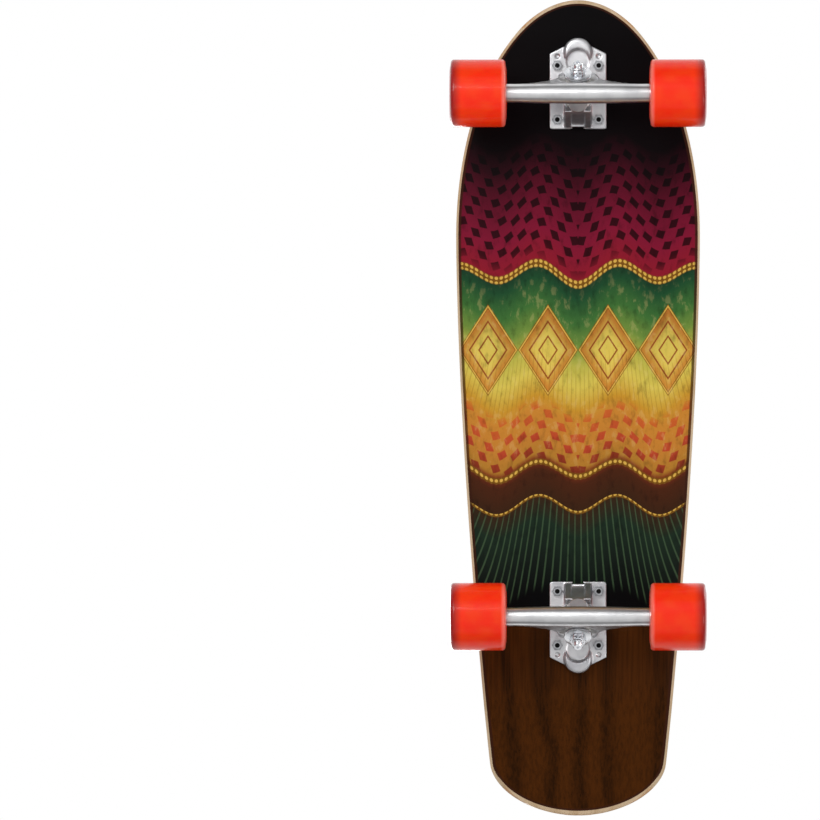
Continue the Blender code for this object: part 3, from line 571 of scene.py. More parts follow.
# %% Sizes of the pressed sheet
DECK_HALF_LENGTH = 407 * MM
DECK_THICKNESS = 10.5 * MM
DECK_WIDTH = 242 * MM
RAIL_ROUND = 3 * MM
CONCAVE_DEPTH = 6 * MM
CONCAVE_FLAT = 60 * MM
CONCAVE_FADE = 60 * MM
KICK_RADIUS = 130 * MM
TAIL_KICK = (-266 * MM, radians(16))
NOSE_KICK = (366 * MM, radians(7))
RING_DROP = 31 * MM  # from the deck's underside to the centre of the hanger's ring
WELD_DISTANCE = 0.001 * MM
DECK_TOP_Z = JOINTS["front_steer"]["pos_m"][2] + RING_DROP + DECK_THICKNESS
GRIP_THICKNESS = 0.9 * MM
GRIP_GAP = 0.3 * MM
HOLE_GAP = 0.3 * MM
DECK_PLAN = {
    "Nose": DECK_HALF_LENGTH,
    "Tail": -DECK_HALF_LENGTH,
    "Widest at": 172 * MM,
    "Width": DECK_WIDTH,
    "Tail width": 170 * MM,
    "Tail round": 52 * MM,
    "Taper power": 1.6,
}
GRIP_PLAN = {
    "Nose": DECK_HALF_LENGTH - 19 * MM,
    "Tail": -DECK_HALF_LENGTH + 20 * MM,
    "Widest at": 163 * MM,
    "Width": 204 * MM,
    "Tail width": 143 * MM,
    "Tail round": 48 * MM,
    "Taper power": 1.45,
}


def clamped(a):
    return smaller(larger(a, 0.0), 1.0)


def half_width(y, plan):
    """Half of the outline's width at y, for numbers and for fields."""
    past_widest = clamped((y - plan["Widest at"]) / (plan["Nose"] - plan["Widest at"]))
    straight_end = plan["Tail"] + plan["Tail round"] / 2
    taper = larger((plan["Widest at"] - y) / (plan["Widest at"] - straight_end), 0.0)
    past_tail = clamped((plan["Tail"] + plan["Tail round"] - y) / plan["Tail round"])
    half = (plan["Width"] - (plan["Width"] - plan["Tail width"]) * taper ** plan["Taper power"]) / 2
    return half * (1 - past_widest * past_widest) ** 0.5 * (1 - past_tail * past_tail) ** 0.5


def kick_rise(past, angle):
    """The height gained past the start of a kick: an arc and then a straight slope."""
    bend = KICK_RADIUS * sin(angle)
    on_bend = smaller(larger(past, 0.0), bend)
    on_slope = larger(past - bend, 0.0)
    return KICK_RADIUS - (KICK_RADIUS**2 - on_bend * on_bend) ** 0.5 + on_slope * tan(angle)


def deck_rise(x, y):
    """How far the pressed face stands above its flat middle."""
    rise = kick_rise(TAIL_KICK[0] - y, TAIL_KICK[1]) + kick_rise(y - NOSE_KICK[0], NOSE_KICK[1])
    past_flat = larger(abs(x) - CONCAVE_FLAT / 2, 0.0) / ((DECK_WIDTH - CONCAVE_FLAT) / 2)
    fade = clamped((DECK_HALF_LENGTH - abs(y)) / CONCAVE_FADE)
    return rise + past_flat * past_flat * fade * CONCAVE_DEPTH


print("deck is", round(2000 * half_width(DECK_PLAN["Widest at"], DECK_PLAN)), "mm wide at its widest")

# %% The tree that presses a sheet


def new_geometry_tree(name, inputs):
    """A geometry tree from a list of (input name, kind, default)."""
    tree = bpy.data.node_groups.new(name, "GeometryNodeTree")
    for label, kind, value in [("Geometry", "Geometry", None), *inputs, ("Material", "Material", None)]:
        socket = tree.interface.new_socket(label, in_out="INPUT", socket_type="NodeSocket" + kind)
        if value is not None:
            socket.default_value = value
    tree.interface.new_socket("Geometry", in_out="OUTPUT", socket_type="NodeSocketGeometry")
    return tree, tree.nodes.new("NodeGroupInput").outputs


def finish_tree(tree, given, geometry):
    """Realizes instances and sets the material, which every tree here ends with."""
    real = add_node(tree, "GeometryNodeRealizeInstances", {0: geometry})
    inputs = {"Geometry": real.outputs[0], "Material": given["Material"]}
    painted = add_node(tree, "GeometryNodeSetMaterial", inputs)
    add_node(tree, "NodeGroupOutput", {0: painted.outputs[0]})
    return tree


def run_tree(name, tree, values, base=None):
    """Runs a geometry tree on an object of its own and returns the plain mesh that it makes."""
    maker = new_object(name + "_maker", base or bpy.data.meshes.new(name))
    modifier = maker.modifiers.new("tree", "NODES")
    modifier.node_group = tree
    for item in tree.interface.items_tree:
        if item.in_out == "INPUT" and item.name in values:
            modifier[item.identifier] = values[item.name]
    return mesh_made_by(maker, name)


def pressed_sheet_tree():
    sizes = [(label, "Float", value) for label, value in DECK_PLAN.items()]
    sizes += [("Top height", "Float", 0.1), ("Columns", "Int", 33), ("Rows", "Int", 161)]
    tree, given = new_geometry_tree("pressed sheet", sizes)
    inputs = {"Size X": 2.0, "Size Y": 1.0, "Vertices X": given["Columns"], "Vertices Y": given["Rows"]}
    grid = add_node(tree, "GeometryNodeMeshGrid", inputs)
    across, along = axes_of(add_node(tree, "GeometryNodeInputPosition").outputs[0])[:2]
    plan = {label: Field(given[label]) for label in DECK_PLAN}
    middle = (plan["Nose"] + plan["Tail"]) * 0.5
    reach = (plan["Nose"] - plan["Tail"]) * 0.5
    y = middle - reach * ((along + 0.5) * pi).cosine()
    x = across * half_width(y, plan)
    z = Field(given["Top height"]) + deck_rise(x, y)
    put = add_node(tree, "ShaderNodeCombineXYZ", {0: x, 1: y, 2: z})
    inputs = {"Geometry": grid.outputs["Mesh"], "Position": put.outputs[0]}
    moved = add_node(tree, "GeometryNodeSetPosition", inputs)
    inputs = {"Geometry": moved.outputs[0], "Distance": WELD_DISTANCE}
    merged = add_node(tree, "GeometryNodeMergeByDistance", inputs)
    return finish_tree(tree, given, merged.outputs[0])


PRESSED_SHEET = pressed_sheet_tree()
print("pressed sheet tree has", len(PRESSED_SHEET.nodes), "nodes")

# %% [markdown]
# ## Mounting bolts
# Eight bolts go down through tape, deck and baseplate. Their heads have a hex socket and sit flush in a
# countersink, and a lock nut holds each from below. One bolt is made as a stack of rings, and a
# small tree puts a copy at each corner of both bolt patterns: repeated hardware is what instances are for.

# %% Bolt sizes and places
BOLT_NODES = [n for n in sorted(NODES) if n.endswith("_bolt")]


def bolt_centre(node):
    low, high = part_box(node)
    return Vector(((low[0] + high[0]) / 2, (low[1] + high[1]) / 2, 0))


BOLT_PLACES = [bolt_centre(node) for node in BOLT_NODES]
BOLT_LOW, BOLT_HIGH = (corner[2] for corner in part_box(BOLT_NODES[0]))
BOLT_HEAD_RADIUS = 4.8 * MM
BOLT_HEAD_EDGE = 0.3 * MM
BOLT_HEAD_HEIGHT = 2.6 * MM
BOLT_RADIUS = 2.4 * MM
BOLT_SOCKET_FLATS = 3.2 * MM
BOLT_SOCKET_DEPTH = 2 * MM
BOLT_NUT_FLATS = 9.5 * MM
BOLT_NUT_HIGH = BOLT_LOW + 6.2 * MM
BOLT_NUT_LOW = BOLT_LOW + 1.2 * MM
BOLT_THREAD_HIGH = BOLT_HIGH - 12 * MM


def threads(radius, low, high, pitch=0.8 * MM, depth=0.35 * MM):
    """A screw's outline from high to low, as ridges."""
    points = []
    turns = max(1, round((high - low) / pitch))
    step = (high - low) / turns
    for i in range(turns):
        top = high - i * step
        points += [(radius - depth, top), (radius, top - step * 0.5)]
    return points + [(radius - depth, low)]


def nut_rings(flats, bore, low, high, collar=0.25):
    """A lock nut with rounded corners and a round collar at its high end."""
    body_high = high - (high - low) * collar
    round_off = flats * 0.5 * 1.02
    corner = flats * 0.5 / cos(pi / 6)
    cut = (corner - round_off) * 0.55
    rings = [(bore, low), (round_off, low), (corner * 1.001, low + cut, flats)]
    rings += [(corner * 1.001, body_high - cut, flats), (round_off, body_high)]
    rings += [(flats * 0.44, body_high), (flats * 0.43, high - 0.4 * MM), (flats * 0.4, high)]
    return rings + [(bore, high)]


def bolt_rings():
    """A countersunk screw from the bottom of its socket to its point."""
    floor = BOLT_HIGH - BOLT_SOCKET_DEPTH
    socket_round = 2 * MM
    rings = [(0, floor), (socket_round, floor, BOLT_SOCKET_FLATS)]
    rings += [(socket_round, BOLT_HIGH, BOLT_SOCKET_FLATS), (BOLT_HEAD_RADIUS - BOLT_HEAD_EDGE, BOLT_HIGH)]
    rings += [(BOLT_HEAD_RADIUS, BOLT_HIGH - BOLT_HEAD_EDGE), (BOLT_RADIUS, BOLT_HIGH - BOLT_HEAD_HEIGHT)]
    return rings + threads(BOLT_RADIUS, BOLT_LOW + 0.3 * MM, BOLT_THREAD_HIGH) + [(0, BOLT_LOW)]


print(len(BOLT_NODES), "bolts at", [tuple(round(v, 4) for v in place[:2]) for place in BOLT_PLACES])

# %% The tree that sets hardware in place


def copies_tree():
    tree, given = new_geometry_tree("copies at points", [("Piece", "Object", None)])
    piece = add_node(tree, "GeometryNodeObjectInfo", {"Object": given["Piece"]})
    points = add_node(tree, "GeometryNodeMeshToPoints", {"Mesh": given["Geometry"]})
    inputs = {"Points": points.outputs[0], "Instance": piece.outputs["Geometry"]}
    placed = add_node(tree, "GeometryNodeInstanceOnPoints", inputs)
    return finish_tree(tree, given, placed.outputs[0])


COPIES = copies_tree()


def bolt_copies(name, rings, material, nodes=()):
    """One profile repeated at the bolts' places, as one piece of the board."""
    shape = bmesh.new()
    ring_shape(shape, rings, 48)
    pattern = new_object(name + "_pattern", mesh_of(shape, name + "_single"))
    points = bpy.data.meshes.new(name + "_points")
    points.from_pydata(BOLT_PLACES, [], [])
    mesh = run_tree(name, COPIES, {"Piece": pattern, "Material": material}, points)
    bpy.data.objects.remove(pattern, do_unlink=True)
    place_piece(name, mesh, Matrix(), "board", [], nodes, 35)


bolt_copies("mounting_bolts", bolt_rings(), BLACK_STEEL, BOLT_NODES)
NUT_RINGS = nut_rings(BOLT_NUT_FLATS, BOLT_RADIUS - 0.1 * MM, BOLT_NUT_HIGH, BOLT_NUT_LOW)
bolt_copies("mounting_nuts", NUT_RINGS, STEEL)
print("bolts and lock nuts stand in", len(BOLT_NODES), "places")

# %% [markdown]
# ## Printed, bare and gritty faces
# The print runs from black at the nose through crimson, green, yellow, gold and rust to near black at the
# rear truck, and the tail is stained walnut. Wavering bands of ornament carry those colours: a lattice,
# lozenges, lines of beads and fine fans. The rim above has a print of its own. The cut edge shows seven
# plies of maple, and a thin dark line runs round both prints just inside it.

# %% Finishes for the board
UNDERSIDE_BANDS = [
    (-0.195, "060506"), (-0.160, "131c16"), (-0.122, "1c2c20"), (-0.096, "3a2213"), (-0.070, "4a2413"),
    (-0.058, "7a2f1a"), (-0.034, "b8452a"), (-0.006, "c8602a"), (0.006, "c8922c"), (0.030, "d8c253"),
    (0.052, "b9b24a"), (0.072, "6f8c3c"), (0.094, "3f6e34"), (0.120, "1f4a2c"), (0.130, "1c3a26"),
    (0.138, "8c1a2a"), (0.170, "7c1530"), (0.208, "5a0f24"), (0.244, "2a0812"), (0.268, "0a0406"),
    (0.407, "060405"),
]
RIM_BANDS = [
    (-0.407, "10150f"), (-0.345, "1a2116"), (-0.318, "4c3a26"), (-0.305, "b8862c"), (-0.245, "b4502a"),
    (-0.195, "c08a30"), (-0.162, "5a2618"), (-0.118, "7a2c1a"), (-0.105, "b8502a"), (-0.020, "b86a2a"),
    (0.012, "c2902e"), (0.060, "c2a23c"), (0.100, "8a8c38"), (0.128, "24512e"), (0.186, "1d4027"),
    (0.194, "a07a2c"), (0.222, "7a4a20"), (0.230, "86182c"), (0.262, "5e1024"), (0.300, "3a0a16"),
    (0.407, "2a0810"),
]
WALNUT_BELOW = -0.207
LOZENGE_LINES = [
    (0.95, 0.1, "7a4a14"), (0.95, 0.05, "e2b650"), (0.62, 0.06, "8a2a1a"), (0.3, 0.06, "8a2a1a"),
]
BEAD_LINES = [(0.134, 0.0075), (-0.062, 0.006), (-0.098, 0.003)]


def colour_ramp(along, bands):
    """Colours at places along the board, blended from one to the next."""
    low, high = bands[0][0], bands[-1][0]
    node = add_node(along.tree, "ShaderNodeValToRGB", {0: (along - low) / (high - low)})
    ramp = node.color_ramp
    while len(ramp.elements) < len(bands):
        ramp.elements.new(0.5)
    for element, (place, code) in zip(ramp.elements, bands):
        element.position = (place - low) / (high - low)
        element.color = paint(code)
    return node.outputs[0]


def within(a, low, high, soft=0.003):
    """1 between low and high, with soft ends."""
    return ramp_between(a, low - soft, low + soft) * (1 - ramp_between(a, high - soft, high + soft))


def wood(place, light, dark, rings):
    """The outputs of a wood grain node in two colours."""
    inputs = {"Place": place, "Light": paint(light), "Dark": paint(dark), "Rings per metre": rings}
    return add_node(place.id_data, "ShaderNodeGroup", inputs, node_tree=WOOD_GRAIN).outputs


def rail_layers(tree, place):
    """A thin dark line inside the rail, and bare maple on its rounding."""
    from_edge = Field(stored(tree, "from_edge")["Fac"])
    inner_line = 1 - ramp_between(from_edge, 0.0042, 0.0050)
    bare = 1 - ramp_between(from_edge, 0.0023, 0.0028)
    return [(inner_line * 0.85, "3a1d12"), (bare, wood(place, "d3bb9c", "bb9d78", 40.0)["Colour"])]


def lozenge_layers(x, y, middle, half_width, half_height):
    """A row of large lozenges across the board: gold outlines, one inside the other, on warm fills."""
    in_cell = abs(repeat_field(x, 2 * half_width)) * 2
    reach = in_cell + abs(y - middle) / half_height
    fill = blend_colours(ramp_between(reach, 0.35, 0.9), "e8c85a", "c8702a")
    outlines = [(line_near(reach, at, wide) * 0.85, code) for at, wide, code in LOZENGE_LINES]
    return [((1 - ramp_between(reach, 0.97, 1.0)) * 0.75, fill)] + outlines


def print_finish(name, bands, wave_height, walnut_below=None):
    """A printed face: ramp, ornament, stained wood past the print's end and the dark inner line."""
    material, tree, shader = new_finish(name)
    place = object_place(tree)
    x, y = axes_of(place)[:2]
    inputs = {"Place": place, "Wave height": wave_height}
    waves = add_node(tree, "ShaderNodeGroup", inputs, node_tree=WAVE_BANDS)
    along, lattice, beads, veins, tone = (Field(output) for output in waves.outputs)
    layers = [
        (lattice * within(along, 0.145, 0.262, 0.012) * 0.85, "060405"),
        ((1 - lattice) * within(along, -0.056, 0.004, 0.004) * 0.55, "c99a35"),
        *lozenge_layers(x, y, 0.058, 0.030, 0.046),
        (veins * within(along, 0.004, 0.05, 0.012) * 0.3, "8a5a1c"),
    ]
    for middle, wide in BEAD_LINES:
        line = line_near(along, middle, wide)
        layers += [(line * 0.9, "7a5216"), (line * beads, "d8ac4c")]
    # painted glints: pale gold flecks where the noise is low, in the middle bands of the print
    painted_glint = (1 - ramp_between(tone, 0.34, 0.46)) * within(along, -0.05, 0.12, 0.02)
    layers += [
        (veins * within(along, -0.19, -0.1, 0.006) * 0.45, "4f6a4a"),
        (ramp_between(tone, 0.5, 0.78) * 0.4, "060405"),
        (painted_glint * 0.14, "f0d890"),
    ]
    if walnut_below is not None:
        bare = 1 - ramp_between(y, walnut_below - 0.001, walnut_below + 0.001)
        layers.append((bare, wood(place, "4c2607", "220f02", 26.0)["Colour"]))
    colour = layered(colour_ramp(along, bands), layers + rail_layers(tree, place))
    grain = noise_field(place, 1100.0, detail=2.0)
    inputs = {"Base Color": colour, "Roughness": 0.42 + grain * 0.12, "Specular IOR Level": 0.04}
    set_inputs(shader, inputs)
    set_bump(shader, grain, 0.00001)
    return material


def ply_finish():
    """Seven plies in turn light and dark, with thin glue lines and grain along the board."""
    material, tree, shader = new_finish("maple plies")
    grain = wood(object_place(tree), "d9ad7c", "b98a5c", 150.0)
    ply = Field(stored(tree, "depth")["Fac"]) * 7
    glue = ramp_between(abs(ply.fraction() - 0.5), 0.42, 0.48)
    turned = (ply * 0.5).fraction().above(0.5)
    colour = layered(grain["Colour"], [(glue * 0.6, "7a5030"), (turned * 0.35, "a8764a")])
    set_inputs(shader, {"Base Color": colour, "Roughness": 0.5})
    set_bump(shader, grain["Height"], 0.00003)
    return material


def grit_finish():
    """Grip tape: grey from afar, close up a black sheet full of pale and dark grit."""
    material, tree, shader = new_finish("grip tape grit")
    place = object_place(tree)
    cells = add_node(tree, "ShaderNodeTexVoronoi", {"Vector": place, "Scale": 1500.0})
    tint = add_node(tree, "ShaderNodeSeparateColor", {0: cells.outputs["Color"]})
    chance = Field(tint.outputs[0])
    speck = ramp_between(noise_field(place, 900.0), 0.35, 0.65)
    base = blend_colours(speck, "2d2c2d", "4f4d4e")
    colour = layered(base, [(chance.above(0.88), "8c8a8b"), (1 - chance.above(0.2), "121113")])
    set_inputs(shader, {"Base Color": colour, "Roughness": 0.92, "Specular IOR Level": 0.2})
    set_bump(shader, 1 - Field(cells.outputs["Distance"]), 0.00025, 0.8)
    return material


UNDERSIDE = print_finish("underside print", UNDERSIDE_BANDS, 0.009, WALNUT_BELOW)
RIM = print_finish("rim print", RIM_BANDS, 0.004)
PLIES = ply_finish()
GRIT = grit_finish()
print("board finishes:", UNDERSIDE.name, RIM.name, PLIES.name, GRIT.name)

# %% [markdown]
# ## Deck and grip tape
# The tree gives only the pressed face. Each is then thickened along the face's own slope, and near the
# outline the face falls away on a quarter circle, which makes the rounded rail. Bolt holes are cut
# last, and each of the deck's points keeps its distance to the outline and its depth through the plies.

# %% Thicken the sheets


def face_normal(x, y):
    step = 0.1 * MM
    slope_x = (deck_rise(x + step, y) - deck_rise(x - step, y)) / (2 * step)
    slope_y = (deck_rise(x, y + step) - deck_rise(x, y - step)) / (2 * step)
    return Vector((-slope_x, -slope_y, 1)).normalized()


def outline_tree(plan, points=1500):
    """The outline's points in a tree that answers how far away the nearest is."""
    found = KDTree(2 * points)
    middle = (plan["Nose"] + plan["Tail"]) / 2
    reach = (plan["Nose"] - plan["Tail"]) / 2
    for i in range(points):
        y = middle - reach * cos(pi * i / (points - 1))
        for side in (-1, 1):
            found.insert((side * half_width(y, plan), y, 0), i)
    found.balance()
    return found


def thickened(name, mesh, plan, thickness, rounding):
    """Top and bottom faces joined by a wall, with the rail's rounding on both."""
    outline = outline_tree(plan)
    shape = bmesh.new()
    shape.from_mesh(mesh)
    bmesh.ops.recalc_face_normals(shape, faces=shape.faces)
    if sum(face.normal.z for face in shape.faces) < 0:
        bmesh.ops.reverse_faces(shape, faces=shape.faces)
    faces = list(shape.faces)
    rim = [edge for edge in shape.edges if edge.is_boundary]
    rim_points = {vertex for edge in rim for vertex in edge.verts}
    bottoms = {}
    for vertex in list(shape.verts):
        x, y = vertex.co.xy
        gap = 0.0 if vertex in rim_points else outline.find((x, y, 0))[2]
        inside = rounding - min(gap, rounding)
        fall = rounding - (rounding**2 - inside**2) ** 0.5
        normal = face_normal(x, y)
        bottoms[vertex] = shape.verts.new(vertex.co - normal * (thickness - fall))
        vertex.co -= normal * fall
    for face in faces:
        shape.faces.new([bottoms[vertex] for vertex in reversed(face.verts)])
    for edge in rim:
        a, b = edge.verts
        shape.faces.new([a, b, bottoms[b], bottoms[a]])
    return mesh_of(shape, name)


def cut_bolt_holes(mesh, name):
    """Countersunk holes through a sheet, cut by one object that holds all eight."""
    wide, narrow = BOLT_HEAD_RADIUS + HOLE_GAP, BOLT_RADIUS + HOLE_GAP
    high, low = BOLT_HIGH + 5 * MM, BOLT_HIGH - 20 * MM
    sink = BOLT_HEAD_HEIGHT + HOLE_GAP
    rings = [(0, high), (wide, high), (wide, BOLT_HIGH - BOLT_HEAD_EDGE)]
    rings += [(narrow, BOLT_HIGH - sink), (narrow, low), (0, low)]
    shape = bmesh.new()
    for place in BOLT_PLACES:
        before = len(shape.verts)
        ring_shape(shape, rings, 32)
        shape.verts.ensure_lookup_table()
        bmesh.ops.translate(shape, verts=shape.verts[before:], vec=place)
    cutter = new_object(name + "_cutter", mesh_of(shape, name + "_cutter"))
    sheet = new_object(name + "_sheet", mesh)
    cut = sheet.modifiers.new("holes", "BOOLEAN")
    with_settings(cut, operation="DIFFERENCE", solver="EXACT", object=cutter)
    done = mesh_made_by(sheet, name)
    bpy.data.objects.remove(cutter, do_unlink=True)
    return done


def pressed_sheet(name, plan, top_z, thickness, rounding, material):
    """A sheet of the deck's form with its outline, its thickness and its bolt holes."""
    values = {**plan, "Top height": top_z, "Material": material}
    flat = run_tree(name, PRESSED_SHEET, values)
    return cut_bolt_holes(thickened(name, flat, plan, thickness, rounding), name)


def mark_places(mesh, plan, top_z, thickness):
    """Stores each point's distance to the outline and its depth below the pressed face."""
    outline = outline_tree(plan)
    gaps, depths = [], []
    for vertex in mesh.vertices:
        x, y, z = vertex.co
        gaps.append(outline.find((x, y, 0))[2])
        depths.append((top_z + deck_rise(x, y) - z) * face_normal(x, y).z / thickness)
    for name, values in (("from_edge", gaps), ("depth", depths)):
        mesh.attributes.new(name, "FLOAT", "POINT").data.foreach_set("value", values)


def build_deck():
    mesh = pressed_sheet("deck", DECK_PLAN, DECK_TOP_Z, DECK_THICKNESS, RAIL_ROUND, PLIES)
    mark_places(mesh, DECK_PLAN, DECK_TOP_Z, DECK_THICKNESS)
    faces = [UNDERSIDE, RIM, PLIES]
    deck = place_piece("pressed_deck", mesh, Matrix(), "board", faces, ["deck"], 30)
    for face in mesh.polygons:
        upright = abs(face.normal.z) < 0.6
        face.material_index = 2 if upright else (1 if face.normal.z > 0 else 0)
    return deck


def build_grip():
    top_z = DECK_TOP_Z + GRIP_GAP + GRIP_THICKNESS
    mesh = pressed_sheet("grip", GRIP_PLAN, top_z, GRIP_THICKNESS, 0.3 * MM, GRIT)
    return place_piece("gritty_tape", mesh, Matrix(), "board", [GRIT], ["grip_tape"], 30)


DECK = build_deck()
GRIP = build_grip()
print("deck", len(DECK.data.polygons), "faces, grip", len(GRIP.data.polygons), "faces")

# %% [markdown]
# ## Wheels and what they roll on
# A wheel has a flat tread between rounded shoulders, domed sides with a lip, a deep seat on each side and a
# shoulder that keeps its bearings apart. A bearing is two rings with a black shield between, and
# behind the shield nothing is seen, so nothing is modelled. Washers, spacer and lock nut follow.

# %% Profiles of wheel and bearing


def wheel_rings(half):
    """A wheel's section from its outer side to its inner one, then back through the bore."""
    tread_half = 24.5 * MM
    seat = 11.3 * MM
    seat_end = 12.5 * MM
    step_radius, step_half = 9 * MM, 4.7 * MM
    chamfer = 0.6 * MM
    dish_half = 18.2 * MM
    lip = 20 * MM
    lip_round = 2 * MM
    corner = 3.4 * MM
    side = [(step_radius, step_half), (seat, step_half), (seat, seat_end)]
    side += [(seat + chamfer, seat_end + chamfer)]
    side += [(lip - 4.4 * MM, dish_half), (lip - 3.4 * MM, dish_half + 1.2 * MM)]
    side += fillet((lip + 0.8 * MM, half - lip_round), lip_round, 180, 90)
    side += [(lip + 4 * MM, half - 0.1 * MM), (lip + 7 * MM, half - 0.7 * MM)]
    side += fillet((WHEEL_RADIUS - corner, tread_half - 0.8 * MM), corner, 72, 4, 6)
    side += [(WHEEL_RADIUS, tread_half - 1.6 * MM)]
    return side + [(radius, -height) for radius, height in reversed(side)]


def washer_rings(bore, reach, low, high, soft):
    """A flat ring with its outer edges cut off; bearings' rings, tubes and inserts have the same section."""
    profile = [(bore, low), (reach - soft, low), (reach, low + soft)]
    return profile + [(reach, high - soft), (reach - soft, high), (bore, high)]


def bearing_rings(low, high):
    """The two steel rings, and the shield set a little in from both faces."""
    bore, inner_reach, outer_bore, reach = (size * MM for size in (4.3, 6, 9.4, 11))
    soft, inset, lap = 0.35 * MM, 0.4 * MM, 0.01 * MM
    inner = [(bore, low + soft), (bore + soft, low), (inner_reach, low), (inner_reach, high)]
    inner += [(bore + soft, high), (bore, high - soft)]
    shield = [(inner_reach - lap, low + inset), (outer_bore + lap, low + inset)]
    shield += [(outer_bore + lap, high - inset), (inner_reach - lap, high - inset)]
    return inner, washer_rings(outer_bore, reach, low, high, soft), shield


print("wheel profile has", len(wheel_rings(WHEEL_HALF_WIDTH)), "rings")

# %% Build the wheels


def flat_ring(node, ending, line, material, soft):
    """A washer, or a tube, which is a long washer, in the CAD node's size."""
    low, high, reach, bore = measured(node, line)
    turned_piece(node, node + ending, line, (material, washer_rings(bore, reach, low, high, soft)), steps=40)


def lock_nut(node, name, line, insert_material, insert, collar=0.25):
    """A lock nut with the ring of its insert; insert holds the ring's inset, width, low and high."""
    low, high, reach, bore = measured(node, line)
    nut = nut_rings(2 * reach * cos(pi / 6), bore, low, high, collar)
    inset, wide, down, up = (size * MM for size in insert)
    ring = washer_rings(bore - inset, bore + wide, high - down, high - up, 0.1 * MM)
    turned_piece(node, name, line, (ZINC, nut), (insert_material, ring))


def build_wheel(end, side):
    name = f"{end}_{side}"
    line = hub_line(end, side)
    rings = wheel_rings(WHEEL_HALF_WIDTH)
    turned_piece(f"{name}_wheel", f"{name}_urethane", line, (RED_URETHANE, rings), steps=96)
    for place in ("inner", "outer"):
        node = f"{name}_{place}_bearing"
        inner, outer, shield = bearing_rings(*measured(node, line)[:2])
        turned_piece(node, f"{node}_rings", line, (STEEL, inner, outer), (SHIELD, shield))
        flat_ring(f"{name}_{place}_speed_washer", "_disc", line, ZINC, 0.2 * MM)
    flat_ring(f"{name}_spacer", "_tube", line, STEEL, 0.4 * MM)
    lock_nut(f"{name}_axle_nut", f"{name}_lock_nut", line, SHIELD, (0.1, 0.9, 1.6, 0.6))


for end in ENDS:
    for side in SIDES:
        build_wheel(end, side)
print("wheels, bearings, washers, spacers and nuts are on")

# %% [markdown]
# ## Axle and kingpin
# Both are rods with threads where a nut runs. The kingpin holds a cup washer, a bushing, the hanger's ring,
# a second bushing, a second cup washer and its nut. Bushings are squeezed when the truck steers, but
# each here rides neither the board nor the hanger.

# %% Build what the axle and kingpin hold


def bushing_rings(bore, reach, low, high):
    """A barrel with rounded edges, whose long walls have rings all along."""
    soft, bevel = 1.4 * MM, 0.4 * MM
    points = [(bore, low + bevel), (bore + bevel, low)]
    points += fillet((reach - soft, low + soft), soft, -90, 0)
    points += fillet((reach - soft, high - soft), soft, 0, 90)
    points += [(bore + bevel, high), (bore, high - bevel)]
    rows = []
    for a, b in zip(points, points[1:]):
        rows.append(a)
        if abs(b[1] - a[1]) > 3 * MM:
            rows += [(a[0], a[1] + (b[1] - a[1]) * i / 8) for i in range(1, 8)]
    return rows + points[-1:]


def cup_rings(hole, reach, thin, lip_low, lip_high):
    """A pressed washer: a flat floor and a lip, rounded where they meet."""
    up = 1 if lip_high > lip_low else -1
    wall, soft = 1.1 * MM, 0.3 * MM
    floor_top = lip_low + up * thin
    lip = lip_high - up * 0.2 * MM
    rings = [(hole, lip_low), (reach - 1 * MM, lip_low), (reach - soft, lip_low + up * soft)]
    rings += [(reach, lip_low + up * 1 * MM), (reach, lip), (reach - soft, lip_high)]
    return rings + [(reach - wall + 0.1 * MM, lip_high), (reach - wall, lip), (reach - wall, floor_top),
                    (hole, floor_top)]


def build_axle(end):
    line = hub_line(end, "right")
    node = f"{end}_axle"
    low, high, reach = measured(node, line)[:3]
    thread, soft, runout = 13 * MM, 0.7 * MM, 0.5 * MM
    points = [(0, high), (reach - soft, high)]
    points += threads(reach, high - thread, high - soft)
    points += [(reach, high - thread - runout), (reach, low + thread + runout)]
    points += threads(reach, low + soft, low + thread)
    points += [(reach - soft, low), (0, low)]
    turned_piece(node, f"{end}_threaded_axle", line, (STEEL, points), steps=40)


def build_kingpin(end):
    line = kingpin_line(end)
    node = f"{end}_kingpin"
    low, high, reach = measured(node, line)[:3]
    nut_low, nut_bore = measured(f"{end}_kingpin_nut", line)[::3]
    pin = nut_bore - 0.3 * MM
    head_top = low + 6 * MM
    # a small hollow in the end, then the end's chamfer and the thread
    points = [(0, high - 1.5 * MM), (1.6 * MM, high - 1.2 * MM), (1.8 * MM, high)]
    points += [(pin - 0.9 * MM, high)] + threads(pin, nut_low - 1 * MM, high - 0.6 * MM, 1.1 * MM)
    points += [(pin, nut_low - 2 * MM), (pin, head_top), (reach, head_top), (reach, low), (0, low)]
    turned_piece(node, f"{end}_threaded_kingpin", line, (ZINC, points), steps=48)
    insert = (0.15, 0.8, 2, 0.5)
    lock_nut(f"{end}_kingpin_nut", f"{end}_kingpin_lock_nut", line, NYLON, insert, 0.3)
    for side in ("road", "board"):
        node = f"{end}_{side}_cup_washer"
        low, high, reach, bore = measured(node, line)
        floor, lip = (high, low) if side == "road" else (low, high)
        turned_piece(node, f"{node}_pressed", line, (ZINC, cup_rings(bore, reach, 1.7 * MM, floor, lip)))


def build_bushings(end):
    line = kingpin_line(end)
    for side in ("road", "board"):
        node = f"{end}_{side}_bushing"
        low, high, reach, bore = measured(node, line)
        shape = bmesh.new()
        ring_shape(shape, bushing_rings(bore, reach, low, high), 64)
        mesh = mesh_of(shape, f"{node}_barrel")
        mesh.transform(line)
        shade(mesh)
        made = new_object(f"{node}_barrel", mesh, [BUSHING])
        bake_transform(made)
        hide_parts(node)


for end in ENDS:
    build_axle(end)
    build_kingpin(end)
    build_bushings(end)
print("axles, kingpins and bushings are in")

# %% [markdown]
# ## Castings
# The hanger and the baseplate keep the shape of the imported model, and only their skin is made again: a voxel
# remesh gives even little faces, and smoothing them rounds every edge and fills every inside
# corner, as sand casting does. Where the axle leaves it, the hanger's tube is turned bright.

# %% Build the castings


